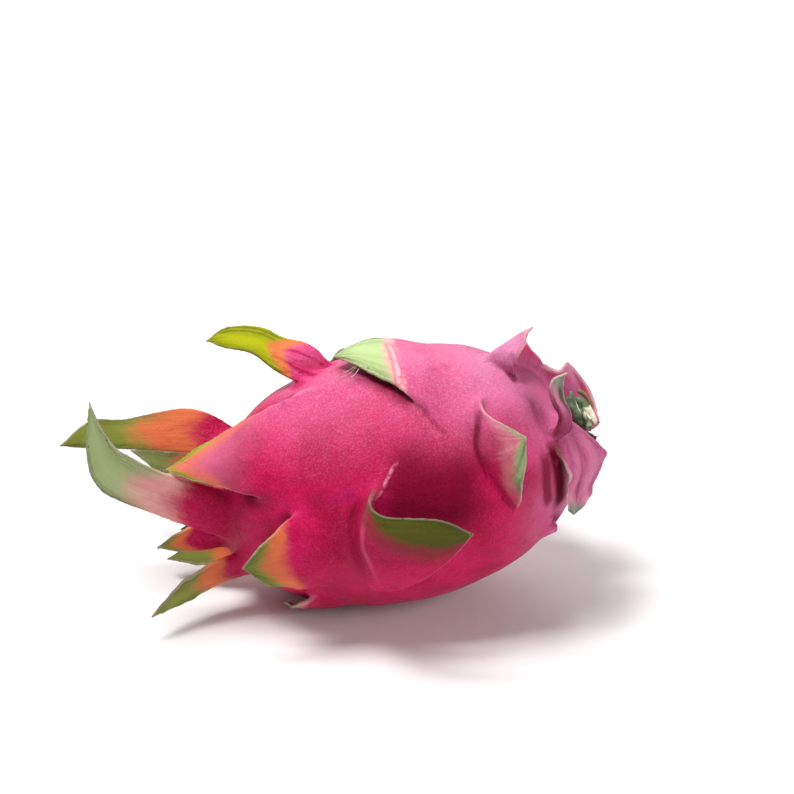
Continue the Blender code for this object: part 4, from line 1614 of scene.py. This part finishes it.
@dataclass
class DryAreole:
    """Small black dried cushion at the stem's foot, with one pale spine."""

    centre: tuple = (66.3, -12.8, 5.0)

    def build(self) -> bpy.types.Object:
        """Build the cushion and its spine and join them to the frame.

        Returns:
            The finished piece.
        """
        x, y, z = self.centre
        path = ((x - 1.6, y + 0.6, z + 0.9), (x - 0.2, y, z + 0.3), (x + 1.2, y - 0.3, z - 1.2))
        cushion = strand(path, 1.75, 0.75)
        points = to_fruit(read_points(cushion))
        lumps = 0.35 * fine_noise(points, 0.9, 2.0)
        write_points(cushion, to_world(points + lumps[:, None]))
        path = ((x + 0.4, y, z), (x + 1.8, y - 0.2, z + 0.5), (x + 3.2, y - 0.3, z + 0.1))
        spine = strand(path, 0.16, 0.3)
        areole = join([cushion, spine], "dry_areole")
        dress(areole, DryFinish().material("dry_areole", 0.5, 0.9))
        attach(areole, "root")
        return areole


@dataclass
class DryCrown:
    """Brown remains of the flower in the hollow of the crown."""

    centre: float = -57.6
    radius: float = 4.6
    half_height: float = 1.3
    threads: int = 11

    def build(self) -> bpy.types.Object:
        """Build the scar and its threads and join them to the frame.

        Returns:
            The finished piece.
        """
        scar, ball = add_ball(48, 24)
        points = ball[:, [2, 0, 1]] * np.array([self.half_height, self.radius, self.radius])
        points[:, 0] += self.centre
        points += 0.55 * fine_noise(points, 1.5, 4.0)[:, None] * np.array([1.0, 0.4, 0.4])
        write_points(scar, to_world(points))
        parts = [scar]
        for number in range(self.threads):
            turn = 360.0 * number / self.threads
            reach = 2.2 + 1.4 * (number * 0.618 % 1.0)
            wide = self.radius * (0.35 + 0.45 * (number * 0.382 % 1.0))
            path = (
                at(self.centre, wide, turn),
                at(self.centre - 0.5 * reach, wide * 1.1, turn + 14),
                at(self.centre - reach, wide * 1.4, turn + 30),
            )
            parts.append(strand(path, 0.4, 0.3, 8, 12))
        crown = join(parts, "dry_crown")
        dress(crown, DryFinish().material("dry_crown", 0.35, 0.75))
        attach(crown, "root")
        return crown


@dataclass
class DryThreads:
    """Thin dry threads that hang from the margin of the top scale."""

    paths: tuple = (
        ((-3.2, -6.7, 46.9), (-5.2, -8.2, 46.0), (-7.2, -8.5, 45.4), (-9.2, -8.1, 45.0)),
        ((-2.4, -7.6, 46.6), (-4.2, -9.2, 45.4), (-6.4, -9.8, 44.7), (-8.2, -9.6, 44.2)),
        ((-3.8, -6.6, 47.0), (-5.4, -7.5, 46.6), (-7.0, -7.8, 46.2), (-8.4, -7.6, 45.7)),
    )
    radius: float = 0.17
    finish: DryFinish = DryFinish((0.16, 0.15, 0.07), (0.50, 0.46, 0.30))

    def build(self) -> bpy.types.Object:
        """Build the threads and join them to the frame.

        Returns:
            The finished piece.
        """
        strands = [strand(path, self.radius, 0.5, 8, 16) for path in self.paths]
        threads = join(strands, "dry_threads")
        dress(threads, self.finish.material("dry_threads", 0.3, 0.6))
        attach(threads, "root")
        return threads


@dataclass
class Studio:
    """Pale floor, soft lights and the camera at the photograph's angle."""

    eye: Vector = Vector((0.010633, -0.581252, 0.382015))
    aim: Vector = Vector((0.010633, 0.012897, 0.066100))
    lit: Vector = Vector((0.0, 0.0, 0.04))
    lens: float = 90.0
    sensor: float = 36.0
    floor_tone: tuple = (0.80, 0.79, 0.79)
    glow: float = 0.18

    def floor(self) -> bpy.types.Object:
        """Plain pale floor, wide enough to reach past the picture's edges."""
        deselect()
        bpy.ops.mesh.primitive_plane_add(size=16.0, location=(0.0, 0.0, 0.0))
        floor = bpy.context.active_object
        floor.name = floor.data.name = "floor"
        board = NodeBoard("floor")
        floor.data.materials.append(board.finish(self.floor_tone, 0.8))
        floor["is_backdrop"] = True
        return floor

    def light(self, name: str, place: tuple, watts: float, size: float) -> None:
        """Soft square light that faces the fruit.

        Args:
            name: Name of the light.
            place: Where it stands.
            watts: Its power.
            size: Its side.
        """
        data = bpy.data.lights.new(name, "AREA")
        data.energy = watts
        data.size = size
        lamp = bpy.data.objects.new(name, data)
        bpy.context.scene.collection.objects.link(lamp)
        facing = (self.lit - Vector(place)).to_track_quat("-Z", "Y").to_matrix().to_4x4()
        lamp.matrix_world = Matrix.Translation(Vector(place)) @ facing

    def camera(self) -> None:
        """Camera that frames the fruit as the photograph does."""
        data = bpy.data.cameras.new("camera")
        data.lens = self.lens
        data.sensor_width = self.sensor
        camera = bpy.data.objects.new("camera", data)
        bpy.context.scene.collection.objects.link(camera)
        facing = (self.aim - self.eye).to_track_quat("-Z", "Y").to_matrix().to_4x4()
        camera.matrix_world = Matrix.Translation(self.eye) @ facing
        bpy.context.scene.camera = camera

    def build(self) -> None:
        """Set up the floor, the lights, the surroundings and the camera."""
        self.floor()
        self.light("key", (-0.6, 0.0, 1.9), 42.0, 0.7)
        self.light("back", (-0.4, 2.2, 1.6), 38.0, 2.2)
        self.light("right", (1.3, -1.0, 1.0), 14.0, 0.9)
        world = bpy.data.worlds.new("studio")
        world.use_nodes = True
        background = world.node_tree.nodes["Background"]
        background.inputs["Color"].default_value = (1.0, 1.0, 1.0, 1.0)
        background.inputs["Strength"].default_value = self.glow
        bpy.context.scene.world = world
        bpy.context.scene.view_settings.view_transform = "Standard"
        self.camera()


def main() -> None:
    """Build every piece in order and report each one."""
    logging.basicConfig(level=logging.INFO, format="%(name)s: %(message)s")
    Studio().build()
    for maker in (FruitSkin(), CutStem(), DryAreole(), DryCrown(), DryThreads()):
        piece = maker.build()
        LOG.info("%s has %d faces", piece.name, len(piece.data.polygons))
    sizes = {"cad": CAD_BOX, "visual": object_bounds()}
    {name: [list(map(float, corner)) for corner in box] for name, box in sizes.items()}


if __name__ == "__main__":
    main()
